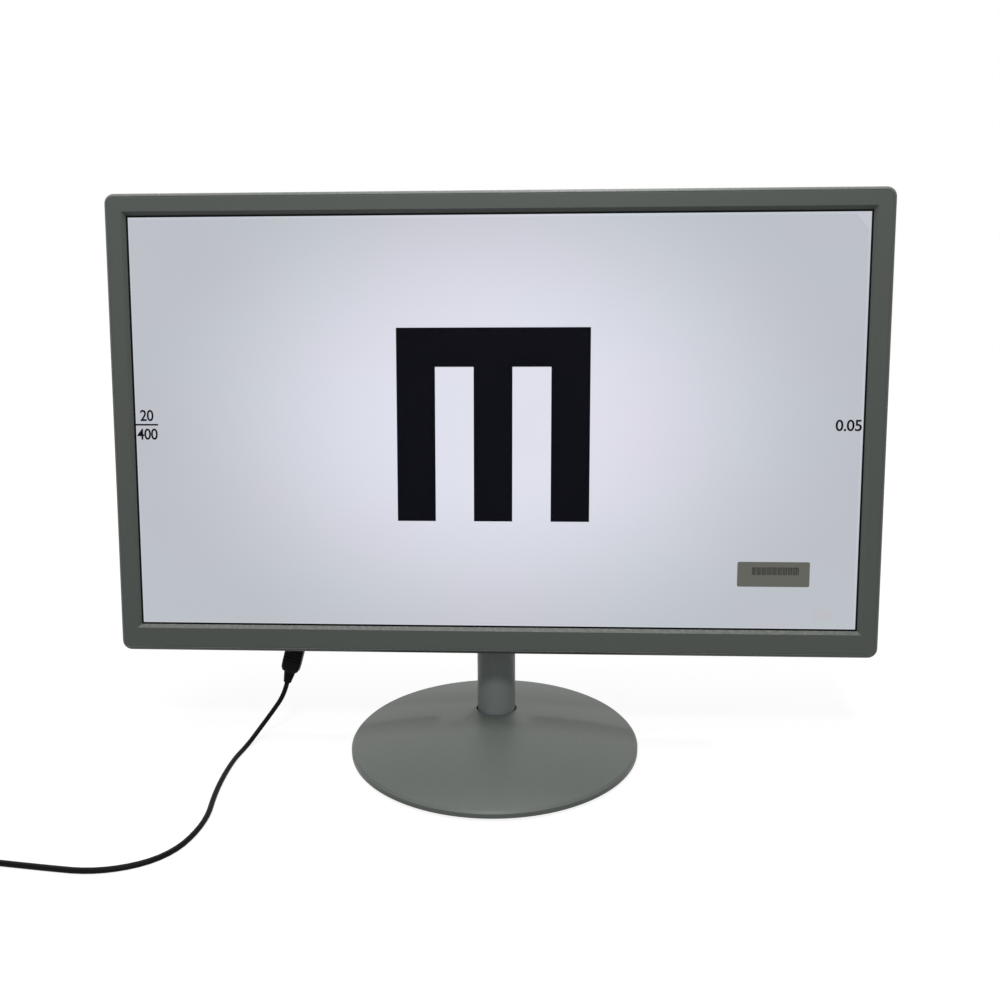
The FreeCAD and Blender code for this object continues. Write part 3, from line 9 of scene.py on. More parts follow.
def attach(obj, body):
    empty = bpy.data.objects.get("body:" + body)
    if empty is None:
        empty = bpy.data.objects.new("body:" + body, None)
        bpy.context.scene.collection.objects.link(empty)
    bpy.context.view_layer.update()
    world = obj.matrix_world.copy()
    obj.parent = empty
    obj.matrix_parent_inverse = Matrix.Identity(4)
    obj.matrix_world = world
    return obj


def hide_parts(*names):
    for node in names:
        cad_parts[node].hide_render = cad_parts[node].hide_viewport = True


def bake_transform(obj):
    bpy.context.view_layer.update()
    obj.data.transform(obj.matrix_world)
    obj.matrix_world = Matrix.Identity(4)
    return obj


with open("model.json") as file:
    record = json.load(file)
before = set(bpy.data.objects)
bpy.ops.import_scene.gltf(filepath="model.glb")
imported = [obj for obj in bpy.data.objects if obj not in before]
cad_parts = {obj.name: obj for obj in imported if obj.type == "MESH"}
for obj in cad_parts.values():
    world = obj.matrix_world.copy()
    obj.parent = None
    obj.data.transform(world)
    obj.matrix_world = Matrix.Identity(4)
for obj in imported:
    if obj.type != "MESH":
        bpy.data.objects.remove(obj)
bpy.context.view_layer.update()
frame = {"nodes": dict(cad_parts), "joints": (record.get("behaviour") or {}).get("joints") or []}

nodes = frame["nodes"]

# The view: the camera stands in front of the chart, a little above the middle of the screen, and looks
# slightly down, as the photograph does. Its place and turn come from fitting the screen and the foot.

VIEW_FROM = Vector((0.0326, -0.6421, 0.3267))
VIEW_YAW = math.radians(-2.48)
VIEW_DOWN = math.radians(11.783)
VIEW_ROLL = math.radians(-0.235)
LENS_MM = 32.4
FILM_MM = 36.0

look = Vector(
    (
        math.sin(VIEW_YAW) * math.cos(VIEW_DOWN),
        math.cos(VIEW_YAW) * math.cos(VIEW_DOWN),
        -math.sin(VIEW_DOWN),
    )
)
level = Vector((math.cos(VIEW_YAW), -math.sin(VIEW_YAW), 0.0))
upright = level.cross(look)
right = math.cos(VIEW_ROLL) * level + math.sin(VIEW_ROLL) * upright
above = math.cos(VIEW_ROLL) * upright - math.sin(VIEW_ROLL) * level

lens = bpy.data.cameras.new("view")
lens.lens = LENS_MM
lens.sensor_width = FILM_MM
lens.clip_start = 0.02
lens.clip_end = 60.0
camera = bpy.data.objects.new("view", lens)
turn = Matrix((right, above, -look)).transposed().to_4x4()
camera.matrix_world = Matrix.Translation(VIEW_FROM) @ turn
bpy.context.scene.collection.objects.link(camera)
bpy.context.scene.camera = camera
bpy.context.scene.view_settings.view_transform = "Standard"

# The studio: a pale floor that runs out of sight, a lamp high behind the chart that lays the head's
# shadow over the front of the foot, a broad soft lamp above, and a dim even sky.

FLOOR_HALF = 6.0
FLOOR_COLOUR = (0.20, 0.20, 0.20, 1.0)
FLOOR_GLOW = 0.86
FLOOR_SHADE_REACH = (0.50, 1.30)
SKY_LEVEL = 0.25
BACK_LAMP_FROM = (0.16, 0.47, 1.78)
BACK_LAMP_SIZE = 0.20
BACK_LAMP_WATTS = 9.5
TOP_LAMP_FROM = (-0.15, -0.42, 1.75)
TOP_LAMP_SIZE = 0.9
TOP_LAMP_WATTS = 14.5
FRONT_LAMP_FROM = (0.05, -1.10, 1.36)
FRONT_LAMP_SIZE = 0.22
FRONT_LAMP_WATTS = 7.6
LAMPS_AIM = Vector((0.0, 0.0, 0.12))


def feed(tree, node, inputs):
    """Give a shader node's inputs their plain values, or link them from the outputs of other nodes."""
    for socket, given in inputs.items():
        if isinstance(given, bpy.types.NodeSocket):
            tree.links.new(given, node.inputs[socket])
        else:
            node.inputs[socket].default_value = given


def add_node(tree, kind, inputs=None, **settings):
    """A new shader node with its settings and its inputs."""
    node = tree.nodes.new(kind)
    for setting, value in settings.items():
        setattr(node, setting, value)
    feed(tree, node, inputs or {})
    return node


def seen_directly(tree):
    """One where the eye, a mirror or a glass looks straight at the surface, nought elsewhere."""
    path = add_node(tree, "ShaderNodeLightPath")
    mirror = add_node(
        tree,
        "ShaderNodeMath",
        {0: path.outputs["Is Camera Ray"], 1: path.outputs["Is Glossy Ray"]},
        operation="MAXIMUM",
    )
    glass = add_node(
        tree,
        "ShaderNodeMath",
        {0: mirror.outputs[0], 1: path.outputs["Is Transmission Ray"]},
        operation="MAXIMUM",
    )
    return glass.outputs[0]


floor_mesh = bpy.data.meshes.new("floor")
floor_mesh.from_pydata(
    [
        (-FLOOR_HALF, -FLOOR_HALF, 0.0),
        (FLOOR_HALF, -FLOOR_HALF, 0.0),
        (FLOOR_HALF, FLOOR_HALF, 0.0),
        (-FLOOR_HALF, FLOOR_HALF, 0.0),
    ],
    [],
    [(0, 1, 2, 3)],
)
floor = bpy.data.objects.new("floor", floor_mesh)
bpy.context.scene.collection.objects.link(floor)
floor_paint = bpy.data.materials.new("floor")
floor_paint.use_nodes = True
floor_tree = floor_paint.node_tree
floor_place = add_node(floor_tree, "ShaderNodeTexCoord")
floor_reach = add_node(
    floor_tree, "ShaderNodeVectorMath", {0: floor_place.outputs["Object"]}, operation="LENGTH"
)
floor_level = add_node(
    floor_tree,
    "ShaderNodeMapRange",
    {
        "Value": floor_reach.outputs["Value"],
        "From Min": FLOOR_SHADE_REACH[0],
        "From Max": FLOOR_SHADE_REACH[1],
        "To Min": FLOOR_GLOW,
        "To Max": 1.0,
    },
    interpolation_type="SMOOTHSTEP",
)
floor_glow = add_node(
    floor_tree,
    "ShaderNodeMath",
    {0: seen_directly(floor_tree), 1: floor_level.outputs["Result"]},
    operation="MULTIPLY",
)
feed(
    floor_tree,
    floor_tree.nodes["Principled BSDF"],
    {
        "Base Color": FLOOR_COLOUR,
        "Roughness": 0.9,
        "Specular IOR Level": 0.0,
        "Emission Color": (1.0, 1.0, 1.0, 1.0),
        "Emission Strength": floor_glow.outputs[0],
    },
)
floor_mesh.materials.append(floor_paint)

sky = bpy.data.worlds.new("sky")
bpy.context.scene.world = sky
sky.use_nodes = True
sky_range = add_node(
    sky.node_tree,
    "ShaderNodeMapRange",
    {"Value": seen_directly(sky.node_tree), "To Min": SKY_LEVEL, "To Max": 1.0},
)
feed(
    sky.node_tree,
    sky.node_tree.nodes["Background"],
    {"Color": (1.0, 1.0, 1.0, 1.0), "Strength": sky_range.outputs["Result"]},
)

for lamp_name, lamp_from, lamp_size, lamp_watts in (
    ("back_lamp", BACK_LAMP_FROM, BACK_LAMP_SIZE, BACK_LAMP_WATTS),
    ("top_lamp", TOP_LAMP_FROM, TOP_LAMP_SIZE, TOP_LAMP_WATTS),
    ("front_lamp", FRONT_LAMP_FROM, FRONT_LAMP_SIZE, FRONT_LAMP_WATTS),
):
    lamp_data = bpy.data.lights.new(lamp_name, "AREA")
    lamp_data.shape = "DISK"
    lamp_data.size = lamp_size
    lamp_data.energy = lamp_watts
    lamp = bpy.data.objects.new(lamp_name, lamp_data)
    lamp.location = lamp_from
    lamp.rotation_euler = (LAMPS_AIM - Vector(lamp_from)).to_track_quat("-Z", "Y").to_euler()
    bpy.context.scene.collection.objects.link(lamp)

# Foot plate: a heavy turned steel plate with a black powder coat, stepped at its rim. Four screws from
# below hold the cover on it and three thicker ones hold the neck's flange.

PLATE_BLACK = (0.030, 0.031, 0.033)
ZINC = (0.56, 0.57, 0.57)
COVER_SCREW = 0.0015
FLANGE_SCREW = 0.0025
HEAD_WIDE = 1.9
HEAD_TALL = 1.1
HEAD_SIDES = 24
HEAD_CURVE = ((0.12, 1.0), (0.55, 0.97), (0.82, 0.82), (0.95, 0.58), (1.0, 0.25), (1.0, 0.0))
RECESS_ARM = 0.56
RECESS_SLIM = 0.13
RECESS_FLOOR = (0.55, 0.25)
RECESS_MOUTH = (1.06, 1.2)
RIM_BAND = 0.0001
SHARP_TURN = math.radians(35)
ROUGH_WAVER = 0.06
GRAIN_SHARE = 0.35
# The pale colour laid on upward faces: settled dust, and on the bezel's top rounding a painted highlight.
DUST_AND_HIGHLIGHT_PALE = (0.42, 0.41, 0.38, 1.0)


def add_socket(tree, way, name, kind="NodeSocketFloat", value=None):
    """A named input or output of a node group."""
    made = tree.interface.new_socket(name, in_out=way, socket_type=kind)
    if value is not None:
        made.default_value = value


def grain_group():
    """Even small grain of a moulded or coated surface, with soft clouds of tone over it."""
    tree = bpy.data.node_groups.new("surface_grain", "ShaderNodeTree")
    add_socket(tree, "INPUT", "Place", "NodeSocketVector")
    add_socket(tree, "INPUT", "Grain Scale", value=1800.0)
    add_socket(tree, "INPUT", "Cloud Scale", value=9.0)
    add_socket(tree, "OUTPUT", "Height")
    add_socket(tree, "OUTPUT", "Tone")
    given = add_node(tree, "NodeGroupInput")
    grain = add_node(
        tree,
        "ShaderNodeTexNoise",
        {"Vector": given.outputs["Place"], "Scale": given.outputs["Grain Scale"], "Detail": 2.0},
    )
    clouds = add_node(
        tree,
        "ShaderNodeTexNoise",
        {"Vector": given.outputs["Place"], "Scale": given.outputs["Cloud Scale"], "Detail": 3.0},
    )
    tone = add_node(
        tree,
        "ShaderNodeMix",
        {"Factor": GRAIN_SHARE, "A": clouds.outputs["Fac"], "B": grain.outputs["Fac"]},
        data_type="FLOAT",
    )
    add_node(tree, "NodeGroupOutput", {"Height": grain.outputs["Fac"], "Tone": tone.outputs["Result"]})
    return tree


def dust_and_highlight_group():
    """Paler where a surface faces up: fine settled dust, and where much is laid on, as on the bezel's top
    rounding, a painted highlight.
    """
    tree = bpy.data.node_groups.new("dust_and_top_highlight", "ShaderNodeTree")
    add_socket(tree, "INPUT", "Place", "NodeSocketVector")
    add_socket(tree, "INPUT", "Facing", "NodeSocketVector")
    add_socket(tree, "INPUT", "Amount", value=0.2)
    add_socket(tree, "OUTPUT", "Mask")
    given = add_node(tree, "NodeGroupInput")
    facing = add_node(tree, "ShaderNodeSeparateXYZ", {"Vector": given.outputs["Facing"]})
    upward = add_node(
        tree, "ShaderNodeMapRange", {"Value": facing.outputs["Z"], "From Min": 0.55, "From Max": 1.0}
    )
    specks = add_node(
        tree, "ShaderNodeTexNoise", {"Vector": given.outputs["Place"], "Scale": 420.0, "Detail": 4.0}
    )
    patchy = add_node(
        tree,
        "ShaderNodeMapRange",
        {"Value": specks.outputs["Fac"], "From Min": 0.42, "From Max": 0.75, "To Min": 0.35},
    )
    both = add_node(
        tree,
        "ShaderNodeMath",
        {0: upward.outputs["Result"], 1: patchy.outputs["Result"]},
        operation="MULTIPLY",
    )
    share = add_node(
        tree, "ShaderNodeMath", {0: both.outputs[0], 1: given.outputs["Amount"]}, operation="MULTIPLY"
    )
    add_node(tree, "NodeGroupOutput", {"Mask": share.outputs[0]})
    return tree


surface_grain = grain_group()
dust_and_top_highlight = dust_and_highlight_group()


def coated(
    name,
    colour,
    rough=0.5,
    spread=0.06,
    grain=1800.0,
    clouds=9.0,
    bump=0.00002,
    dust_and_highlight=0.0,
    metal=0.0,
    shine=0.5,
):
    """A coat or moulding: its colour wavers by a share, its grain is bumped, and a pale layer may lie on
    upward faces, as dust and, where laid on heavily, as a painted highlight.
    """
    made = bpy.data.materials.new(name)
    made.use_nodes = True
    tree = made.node_tree
    place = add_node(tree, "ShaderNodeTexCoord")
    surface = add_node(
        tree,
        "ShaderNodeGroup",
        {"Place": place.outputs["Object"], "Grain Scale": grain, "Cloud Scale": clouds},
        node_tree=surface_grain,
    )
    tone = surface.outputs["Tone"]
    tint = add_node(
        tree,
        "ShaderNodeMix",
        {
            "Factor": tone,
            "A": (*(c * (1 - spread) for c in colour), 1.0),
            "B": (*(min(1.0, c * (1 + spread)) for c in colour), 1.0),
        },
        data_type="RGBA",
    )
    sheen = add_node(
        tree,
        "ShaderNodeMapRange",
        {"Value": tone, "To Min": rough - ROUGH_WAVER, "To Max": rough + ROUGH_WAVER},
    )
    relief = add_node(tree, "ShaderNodeBump", {"Height": surface.outputs["Height"], "Distance": bump})
    skin = tint.outputs["Result"]
    # A pale layer on upward faces: dust, and where the amount is high a painted highlight.
    if dust_and_highlight:
        film = add_node(
            tree,
            "ShaderNodeGroup",
            {"Place": place.outputs["Object"], "Facing": place.outputs["Normal"], "Amount": dust_and_highlight},
            node_tree=dust_and_top_highlight,
        )
        pale = add_node(
            tree,
            "ShaderNodeMix",
            {"Factor": film.outputs["Mask"], "A": skin, "B": DUST_AND_HIGHLIGHT_PALE},
            data_type="RGBA",
        )
        skin = pale.outputs["Result"]
    feed(
        tree,
        tree.nodes["Principled BSDF"],
        {
            "Base Color": skin,
            "Metallic": metal,
            "Roughness": sheen.outputs["Result"],
            "Specular IOR Level": shine,
            "Normal": relief.outputs["Normal"],
        },
    )
    return made


def dress(node, finish):
    """Give a CAD node its finish."""
    slots = nodes[node].data.materials
    if not slots:
        slots.append(finish)
    for number in range(len(slots)):
        slots[number] = finish


plated = coated(
    "zinc_plate", ZINC, rough=0.32, spread=0.12, grain=900.0, clouds=160.0, bump=0.000004, metal=1.0
)
dress("base_plate", coated("powder_coat", PLATE_BLACK, rough=0.62, spread=0.15, grain=1400.0, bump=0.00005))


def turn_faces_out(shape):
    """Turn each face of a closed mesh outward."""
    held = bmesh.new()
    held.from_mesh(shape)
    bmesh.ops.recalc_face_normals(held, faces=held.faces)
    held.to_mesh(shape)
    held.free()


def piece(name, vertices, faces, finish, body, smooth=False, place=None):
    """A mesh piece that rides on a body. A place moves points drawn in the head's upright frame."""
    shape = bpy.data.meshes.new(name)
    shape.from_pydata([Vector(v) for v in vertices], [], faces)
    if place is not None:
        shape.transform(place)
    shape.validate()
    turn_faces_out(shape)
    for face in shape.polygons:
        face.use_smooth = smooth
    if smooth:
        shape.set_sharp_from_angle(angle=SHARP_TURN)
    shape.materials.append(finish)
    thing = bpy.data.objects.new(name, shape)
    bpy.context.scene.collection.objects.link(thing)
    if body:
        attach(thing, body)
    return thing


def ring_faces(count, ring, closed=False):
    """Faces between rings of points that follow each other, capped at both ends or joined in a loop."""
    faces = []
    for number in range(count if closed else count - 1):
        low = number * ring
        high = (number + 1) % count * ring
        for step in range(ring):
            ahead = (step + 1) % ring
            faces.append((low + step, low + ahead, high + ahead, high + step))
    if not closed:
        faces.append(tuple(range(ring)))
        faces.append(tuple((count - 1) * ring + step for step in range(ring)))
    return faces


def pan_head_screw(shank, long):
    """One screw along +Z: a domed pan head with a cross recess, its seat at nought, and a pointed shank."""
    wide = shank * HEAD_WIDE
    tall = shank * HEAD_TALL
    profile = [(reach * wide, height * tall) for reach, height in HEAD_CURVE]
    profile += [(shank, 0.0), (shank, shank - long), (0.2 * shank, -long)]
    points = []
    for reach, height in profile:
        for step in range(HEAD_SIDES):
            angle = 2 * math.pi * step / HEAD_SIDES
            points.append((reach * math.cos(angle), reach * math.sin(angle), height))
    slim = RECESS_SLIM * wide
    arm = RECESS_ARM * wide
    cross = [
        (arm, slim), (slim, slim), (slim, arm), (-slim, arm), (-slim, slim), (-arm, slim),
        (-arm, -slim), (-slim, -slim), (-slim, -arm), (slim, -arm), (slim, -slim), (arm, -slim),
    ]
    cutter_points = []
    for share, height in (RECESS_FLOOR, RECESS_MOUTH):
        cutter_points += [(x * share, y * share, height * tall) for x, y in cross]
    made = []
    for spots, faces in (
        (points, ring_faces(len(profile), HEAD_SIDES)),
        (cutter_points, ring_faces(2, len(cross))),
    ):
        shape = bpy.data.meshes.new("screw")
        shape.from_pydata(spots, [], faces)
        turn_faces_out(shape)
        thing = bpy.data.objects.new("screw", shape)
        bpy.context.scene.collection.objects.link(thing)
        made.append(thing)
    recess = made[0].modifiers.new("recess", "BOOLEAN")
    recess.operation = "DIFFERENCE"
    recess.solver = "EXACT"
    recess.object = made[1]
    view = bpy.context.evaluated_depsgraph_get()
    cut = bpy.data.meshes.new_from_object(made[0].evaluated_get(view))
    for thing in made:
        bpy.data.objects.remove(thing)
    return cut


def screws_for(name, node, shank, outward, body):
    """Pan head screws in the places of a node's plain ones, their heads towards the outward way.

    A node's mesh is sorted into loose pieces by their shared edges, and pieces in one line are one screw.
    """
    shape = nodes[node].data
    home = list(range(len(shape.vertices)))

    def root(spot):
        while home[spot] != spot:
            home[spot] = home[home[spot]]
            spot = home[spot]
        return spot

    for edge in shape.edges:
        home[root(edge.vertices[0])] = root(edge.vertices[1])
    groups = {}
    for vertex in shape.vertices:
        groups.setdefault(root(vertex.index), []).append(vertex.co)
    loose = []
    for group in groups.values():
        top = max(co.dot(outward) for co in group)
        bottom = min(co.dot(outward) for co in group)
        rim = [co for co in group if top - co.dot(outward) < RIM_BAND]
        middle = sum(rim, Vector()) / len(rim)
        loose.append((middle, top, bottom))
    screws = []
    for middle, top, bottom in loose:
        near = []
        for screw in screws:
            apart = screw[0] - middle
            if (apart - outward * apart.dot(outward)).length < shank:
                near.append(screw)
        if near:
            screws.remove(near[0])
            middle = near[0][0] if near[0][1] >= top else middle
            top = max(top, near[0][1])
            bottom = min(bottom, near[0][2])
        screws.append((middle, top, bottom))
    turned = outward.to_track_quat("Z", "Y").to_matrix().to_4x4()
    points = []
    faces = []
    for middle, top, bottom in screws:
        single = pan_head_screw(shank, top - bottom - shank * HEAD_TALL)
        seat = middle - outward * (shank * HEAD_TALL)
        first = len(points)
        points += [Matrix.Translation(seat) @ turned @ v.co for v in single.vertices]
        faces += [tuple(first + spot for spot in face.vertices) for face in single.polygons]
    made = piece(name, points, faces, plated, body, smooth=True)
    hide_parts(node)


screws_for("foot_screws", "base_screws", COVER_SCREW, Vector((0.0, 0.0, -1.0)), "stand")
screws_for("neck_flange_screws", "flange_screws", FLANGE_SCREW, Vector((0.0, 0.0, -1.0)), "stand")

# Pads: six round feet of black rubber, dull and a little dusty. They are glued under the plate's rim
# and keep the foot from sliding on its table.

RUBBER_BLACK = (0.022, 0.022, 0.021)
rubber = coated("rubber", RUBBER_BLACK, rough=0.85, spread=0.2, grain=2600.0, bump=0.00004, dust_and_highlight=0.2)
dress("base_pads", rubber)

# Foot cover: one shallow domed moulding in satin grey plastic with a lip round its rim. It drops over
# the plate and is screwed from below, and the neck comes up through its hole.

FOOT_GREY = (0.124, 0.139, 0.125)
foot_plastic = coated(
    "foot_plastic", FOOT_GREY, rough=0.42, grain=2400.0, clouds=7.0, bump=0.000012, dust_and_highlight=0.06, shine=0.3
)
dress("base_cover", foot_plastic)

# Neck: a steel tube welded to a flange, which is screwed to the plate from below. A smooth painted
# sleeve hides the tube, with a black cap on top.

# The sleeve's grey is set two to three times lighter than the shells' plastic: painted light on a neck that
# stands in the head's shade.
NECK_GREY = (0.285, 0.310, 0.310)
CAP_BLACK = (0.020, 0.020, 0.021)
dress("neck_tube", plated)
neck_paint_with_painted_light = coated(
    "neck_paint_with_painted_light", NECK_GREY, rough=0.40, spread=0.04, grain=3000.0, bump=0.000006, shine=0.2
)
dress("neck_sleeve", neck_paint_with_painted_light)
dress("neck_cap", coated("cap_plastic", CAP_BLACK, rough=0.5, spread=0.15, bump=0.00002))

# Hinge: a steel barrel on the neck, friction washers, one bolt and nut, and a pressed bracket whose two
# ears carry the head. Four screws hold the bracket to the chassis.

BRACKET_SCREW = 0.0020
HEAD_LEAN = math.radians(6.0)
head_back = Vector((0.0, math.cos(HEAD_LEAN), -math.sin(HEAD_LEAN)))
for part in ("hinge_barrel", "friction_washers", "hinge_bolt", "hinge_nut", "hinge_bracket"):
    dress(part, plated)
screws_for("hinge_screws", "bracket_screws", BRACKET_SCREW, head_back, "head")

# Display module: glass, film stack, light guide, white reflector and a strip of lamps, held in a black
# frame and a folded steel tray.

GLASS_BLACK = (0.006, 0.006, 0.007)
FILM_WHITE = (0.80, 0.80, 0.79)
GUIDE_CLEAR = (0.86, 0.90, 0.92)
MASK_GREEN = (0.012, 0.085, 0.040)

glass_black = coated(
    "glass_rim", GLASS_BLACK, rough=0.22, spread=0.1, grain=4000.0, bump=0.000003, shine=0.06
)
white_sheet = coated("white_sheet", FILM_WHITE, rough=0.5, spread=0.03, grain=3000.0, bump=0.000004)
guide_clear = coated("guide_acrylic", GUIDE_CLEAR, rough=0.12, spread=0.03, grain=1200.0, bump=0.000003)
guide_clear.node_tree.nodes["Principled BSDF"].inputs["Transmission Weight"].default_value = 0.9
board_green = coated(
    "solder_mask", MASK_GREEN, rough=0.35, spread=0.35, grain=260.0, clouds=700.0, bump=0.00004
)
dress("lcd_glass", glass_black)
dress("optical_films", white_sheet)
dress("reflector_sheet", white_sheet)
dress("light_guide", guide_clear)
dress("led_bar", board_green)
dress("module_frame", coated("frame_plastic", CAP_BLACK, rough=0.55, spread=0.15))
dress("module_tray", plated)

# Picture on the screen: the lit area, a touch brighter in the middle than at the sides, with the test
# letter and its scale numbers in near black.

LIT_HALF = (0.26352, 0.14823)
LIT_DEPTH = -0.00004
MARK_DEPTH = -0.00009
MIDDLE_LIGHT = (0.815, 0.825, 0.925)
SIDE_LIGHT = (0.556, 0.580, 0.632)
BRIGHTEST_AT = (0.5, 0.52, 0.0)
BRIGHT_REACH = (1.65, 1.20, 1.0)
CELL_LINES = 95.0
GREEN_CAST = (0.985, 1.0, 0.990, 1.0)
PINK_CAST = (1.0, 0.976, 0.989, 1.0)
INK_GLOW = (0.0, 0.0, 0.0034)
LETTER_HALF = 0.070
LETTER_BAR = 0.028
LETTER_MIDDLE = (-0.0003, -0.0005)
NUMBERS = (
    ("20", -0.2601, -0.2502, 0.0023, 0.0106),
    ("400", -0.2628, -0.2475, -0.0113, -0.0031),
    ("0.05", 0.2441, 0.2625, -0.0043, 0.0039),
)
FRACTION_BAR = (-0.2640, -0.2469, -0.0009, 0.0003)
DIGIT_WEIGHT = 0.016
DIGIT_SPACING = 0.96

tilt_joint = next(j for j in frame["joints"] if j["name"] == "head_tilt")
HINGE = Vector(tilt_joint["pos_m"])
HINGE_BEHIND = 0.036
HINGE_BELOW = 0.1038
head_turn = Matrix.Rotation(-HEAD_LEAN, 4, "X")
head_place = Matrix.Translation(HINGE) @ head_turn @ Matrix.Translation((0.0, -HINGE_BEHIND, HINGE_BELOW))


def flat_outline(name, outline, depth, finish):
    """A flat shape that faces the viewer at a depth before the glass."""
    points = [(x, depth, z) for x, z in outline]
    return piece(name, points, [tuple(range(len(points)))], finish, "head", place=head_place)


def lit(name, colour):
    """A surface that gives off its own light through the glass."""
    made = bpy.data.materials.new(name)
    made.use_nodes = True
    feed(
        made.node_tree,
        made.node_tree.nodes["Principled BSDF"],
        {
            "Base Color": (0.002, 0.002, 0.002, 1.0),
            "Roughness": 0.3,
            "Specular IOR Level": 0.03,
            "Emission Color": (*colour, 1.0),
            "Emission Strength": 1.0,
        },
    )
    return made


def picture_light():
    """The lit field: it falls off from its middle, with a faint cloudy cast and lines of cells."""
    made = lit("picture_light", MIDDLE_LIGHT)
    tree = made.node_tree
    place = add_node(tree, "ShaderNodeUVMap")
    centred = add_node(
        tree, "ShaderNodeMapping", {"Vector": place.outputs["UV"], "Location": -Vector(BRIGHTEST_AT)}
    )
    spread_out = add_node(
        tree, "ShaderNodeMapping", {"Vector": centred.outputs["Vector"], "Scale": BRIGHT_REACH}
    )
    falling = add_node(
        tree, "ShaderNodeTexGradient", {"Vector": spread_out.outputs["Vector"]}, gradient_type="SPHERICAL"
    )
    ease = add_node(
        tree,
        "ShaderNodeMapRange",
        {"Value": falling.outputs["Fac"], "From Min": 0.15, "From Max": 0.85},
        interpolation_type="SMOOTHSTEP",
    )
    field = add_node(
        tree,
        "ShaderNodeMix",
        {"Factor": ease.outputs["Result"], "A": (*SIDE_LIGHT, 1.0), "B": (*MIDDLE_LIGHT, 1.0)},
        data_type="RGBA",
    )
    blotch = add_node(
        tree, "ShaderNodeTexNoise", {"Vector": place.outputs["UV"], "Scale": 3.2, "Detail": 1.0}
    )
    cast_share = add_node(
        tree, "ShaderNodeMapRange", {"Value": blotch.outputs["Fac"], "From Min": 0.38, "From Max": 0.66}
    )
    cast = add_node(
        tree,
        "ShaderNodeMix",
        {"Factor": cast_share.outputs["Result"], "A": GREEN_CAST, "B": PINK_CAST},
        data_type="RGBA",
    )
    tinted = add_node(
        tree,
        "ShaderNodeMix",
        {"Factor": 1.0, "A": field.outputs["Result"], "B": cast.outputs["Result"]},
        data_type="RGBA",
        blend_type="MULTIPLY",
    )
    cells = add_node(
        tree,
        "ShaderNodeTexWave",
        {"Vector": place.outputs["UV"], "Scale": CELL_LINES, "Distortion": 1.2, "Detail": 1.0},
    )
    faint = add_node(
        tree, "ShaderNodeMapRange", {"Value": cells.outputs["Fac"], "To Min": 0.985, "To Max": 1.0}
    )
    weave = add_node(
        tree,
        "ShaderNodeMix",
        {"Factor": 1.0, "A": tinted.outputs["Result"], "B": faint.outputs["Result"]},
        data_type="RGBA",
        blend_type="MULTIPLY",
    )
    feed(tree, tree.nodes["Principled BSDF"], {"Emission Color": weave.outputs["Result"]})
    return made


picture = flat_outline(
    "screen_picture",
    [
        (-LIT_HALF[0], -LIT_HALF[1]),
        (LIT_HALF[0], -LIT_HALF[1]),
        (LIT_HALF[0], LIT_HALF[1]),
        (-LIT_HALF[0], LIT_HALF[1]),
    ],
    LIT_DEPTH,
    picture_light(),
)
picture_map = picture.data.uv_layers.new(name="UVMap")
for corner in picture.data.loops:
    at = head_place.inverted() @ picture.data.vertices[corner.vertex_index].co
    picture_map.data[corner.index].uv = (
        0.5 + at.x / (2 * LIT_HALF[0]),
        0.5 + at.z / (2 * LIT_HALF[1]),
    )

ink = lit("ink_dark", INK_GLOW)
leg_inner = LETTER_HALF - LETTER_BAR
letter_outline = [
    (-LETTER_HALF, -LETTER_HALF),
    (-leg_inner, -LETTER_HALF),
    (-leg_inner, leg_inner),
    (-LETTER_BAR / 2, leg_inner),
    (-LETTER_BAR / 2, -LETTER_HALF),
    (LETTER_BAR / 2, -LETTER_HALF),
    (LETTER_BAR / 2, leg_inner),
    (leg_inner, leg_inner),
    (leg_inner, -LETTER_HALF),
    (LETTER_HALF, -LETTER_HALF),
    (LETTER_HALF, LETTER_HALF),
    (-LETTER_HALF, LETTER_HALF),
]
flat_outline(
    "test_letter",
    [(x + LETTER_MIDDLE[0], z + LETTER_MIDDLE[1]) for x, z in letter_outline],
    MARK_DEPTH,
    ink,
)
bar_left, bar_right, bar_low, bar_high = FRACTION_BAR
flat_outline(
    "fraction_bar",
    [(bar_left, bar_low), (bar_right, bar_low), (bar_right, bar_high), (bar_left, bar_high)],
    MARK_DEPTH,
    ink,
)
for number, (digits, digits_left, digits_right, digits_low, digits_high) in enumerate(NUMBERS, start=1):
    writing = bpy.data.curves.new("digits", "FONT")
    writing.body = digits
    writing.space_character = DIGIT_SPACING
    writing.offset = DIGIT_WEIGHT
    drawn = bpy.data.objects.new("digits", writing)
    bpy.context.scene.collection.objects.link(drawn)
    bpy.context.view_layer.update()
    shape = bpy.data.meshes.new_from_object(drawn)
    bpy.data.objects.remove(drawn)
    lows = [min(v.co[axis] for v in shape.vertices) for axis in (0, 1)]
    highs = [max(v.co[axis] for v in shape.vertices) for axis in (0, 1)]
    wide = (digits_right - digits_left) / (highs[0] - lows[0])
    tall = (digits_high - digits_low) / (highs[1] - lows[1])
    points = [
        (digits_left + (v.co.x - lows[0]) * wide, MARK_DEPTH, digits_low + (v.co.y - lows[1]) * tall)
        for v in shape.vertices
    ]
    piece(
        f"scale_number_{number}",
        points,
        [tuple(face.vertices) for face in shape.polygons],
        ink,
        "head",
        place=head_place,
    )
    bpy.data.meshes.remove(shape)

# Film: the thin clear sheet that still covers the new screen, with its top right corner cut off. It
# clings by itself and shows as a faint milky haze.

FILM = (-0.26270, 0.26190, -0.14740, 0.14655)
FILM_BACK = -0.00013
FILM_FRONT = -0.00015
FILM_CUT = (0.0085, 0.0105)
FILM_TONE = (0.05, 0.05, 0.055)
FILM_HAZE = 0.04
SMUDGE_MIDDLE = (0.2389, -0.1376)
SMUDGE_HALF = (0.0085, 0.0042)
SMUDGE_TONE = (0.72, 0.42, 0.48)
SMUDGE_HAZE = 0.05

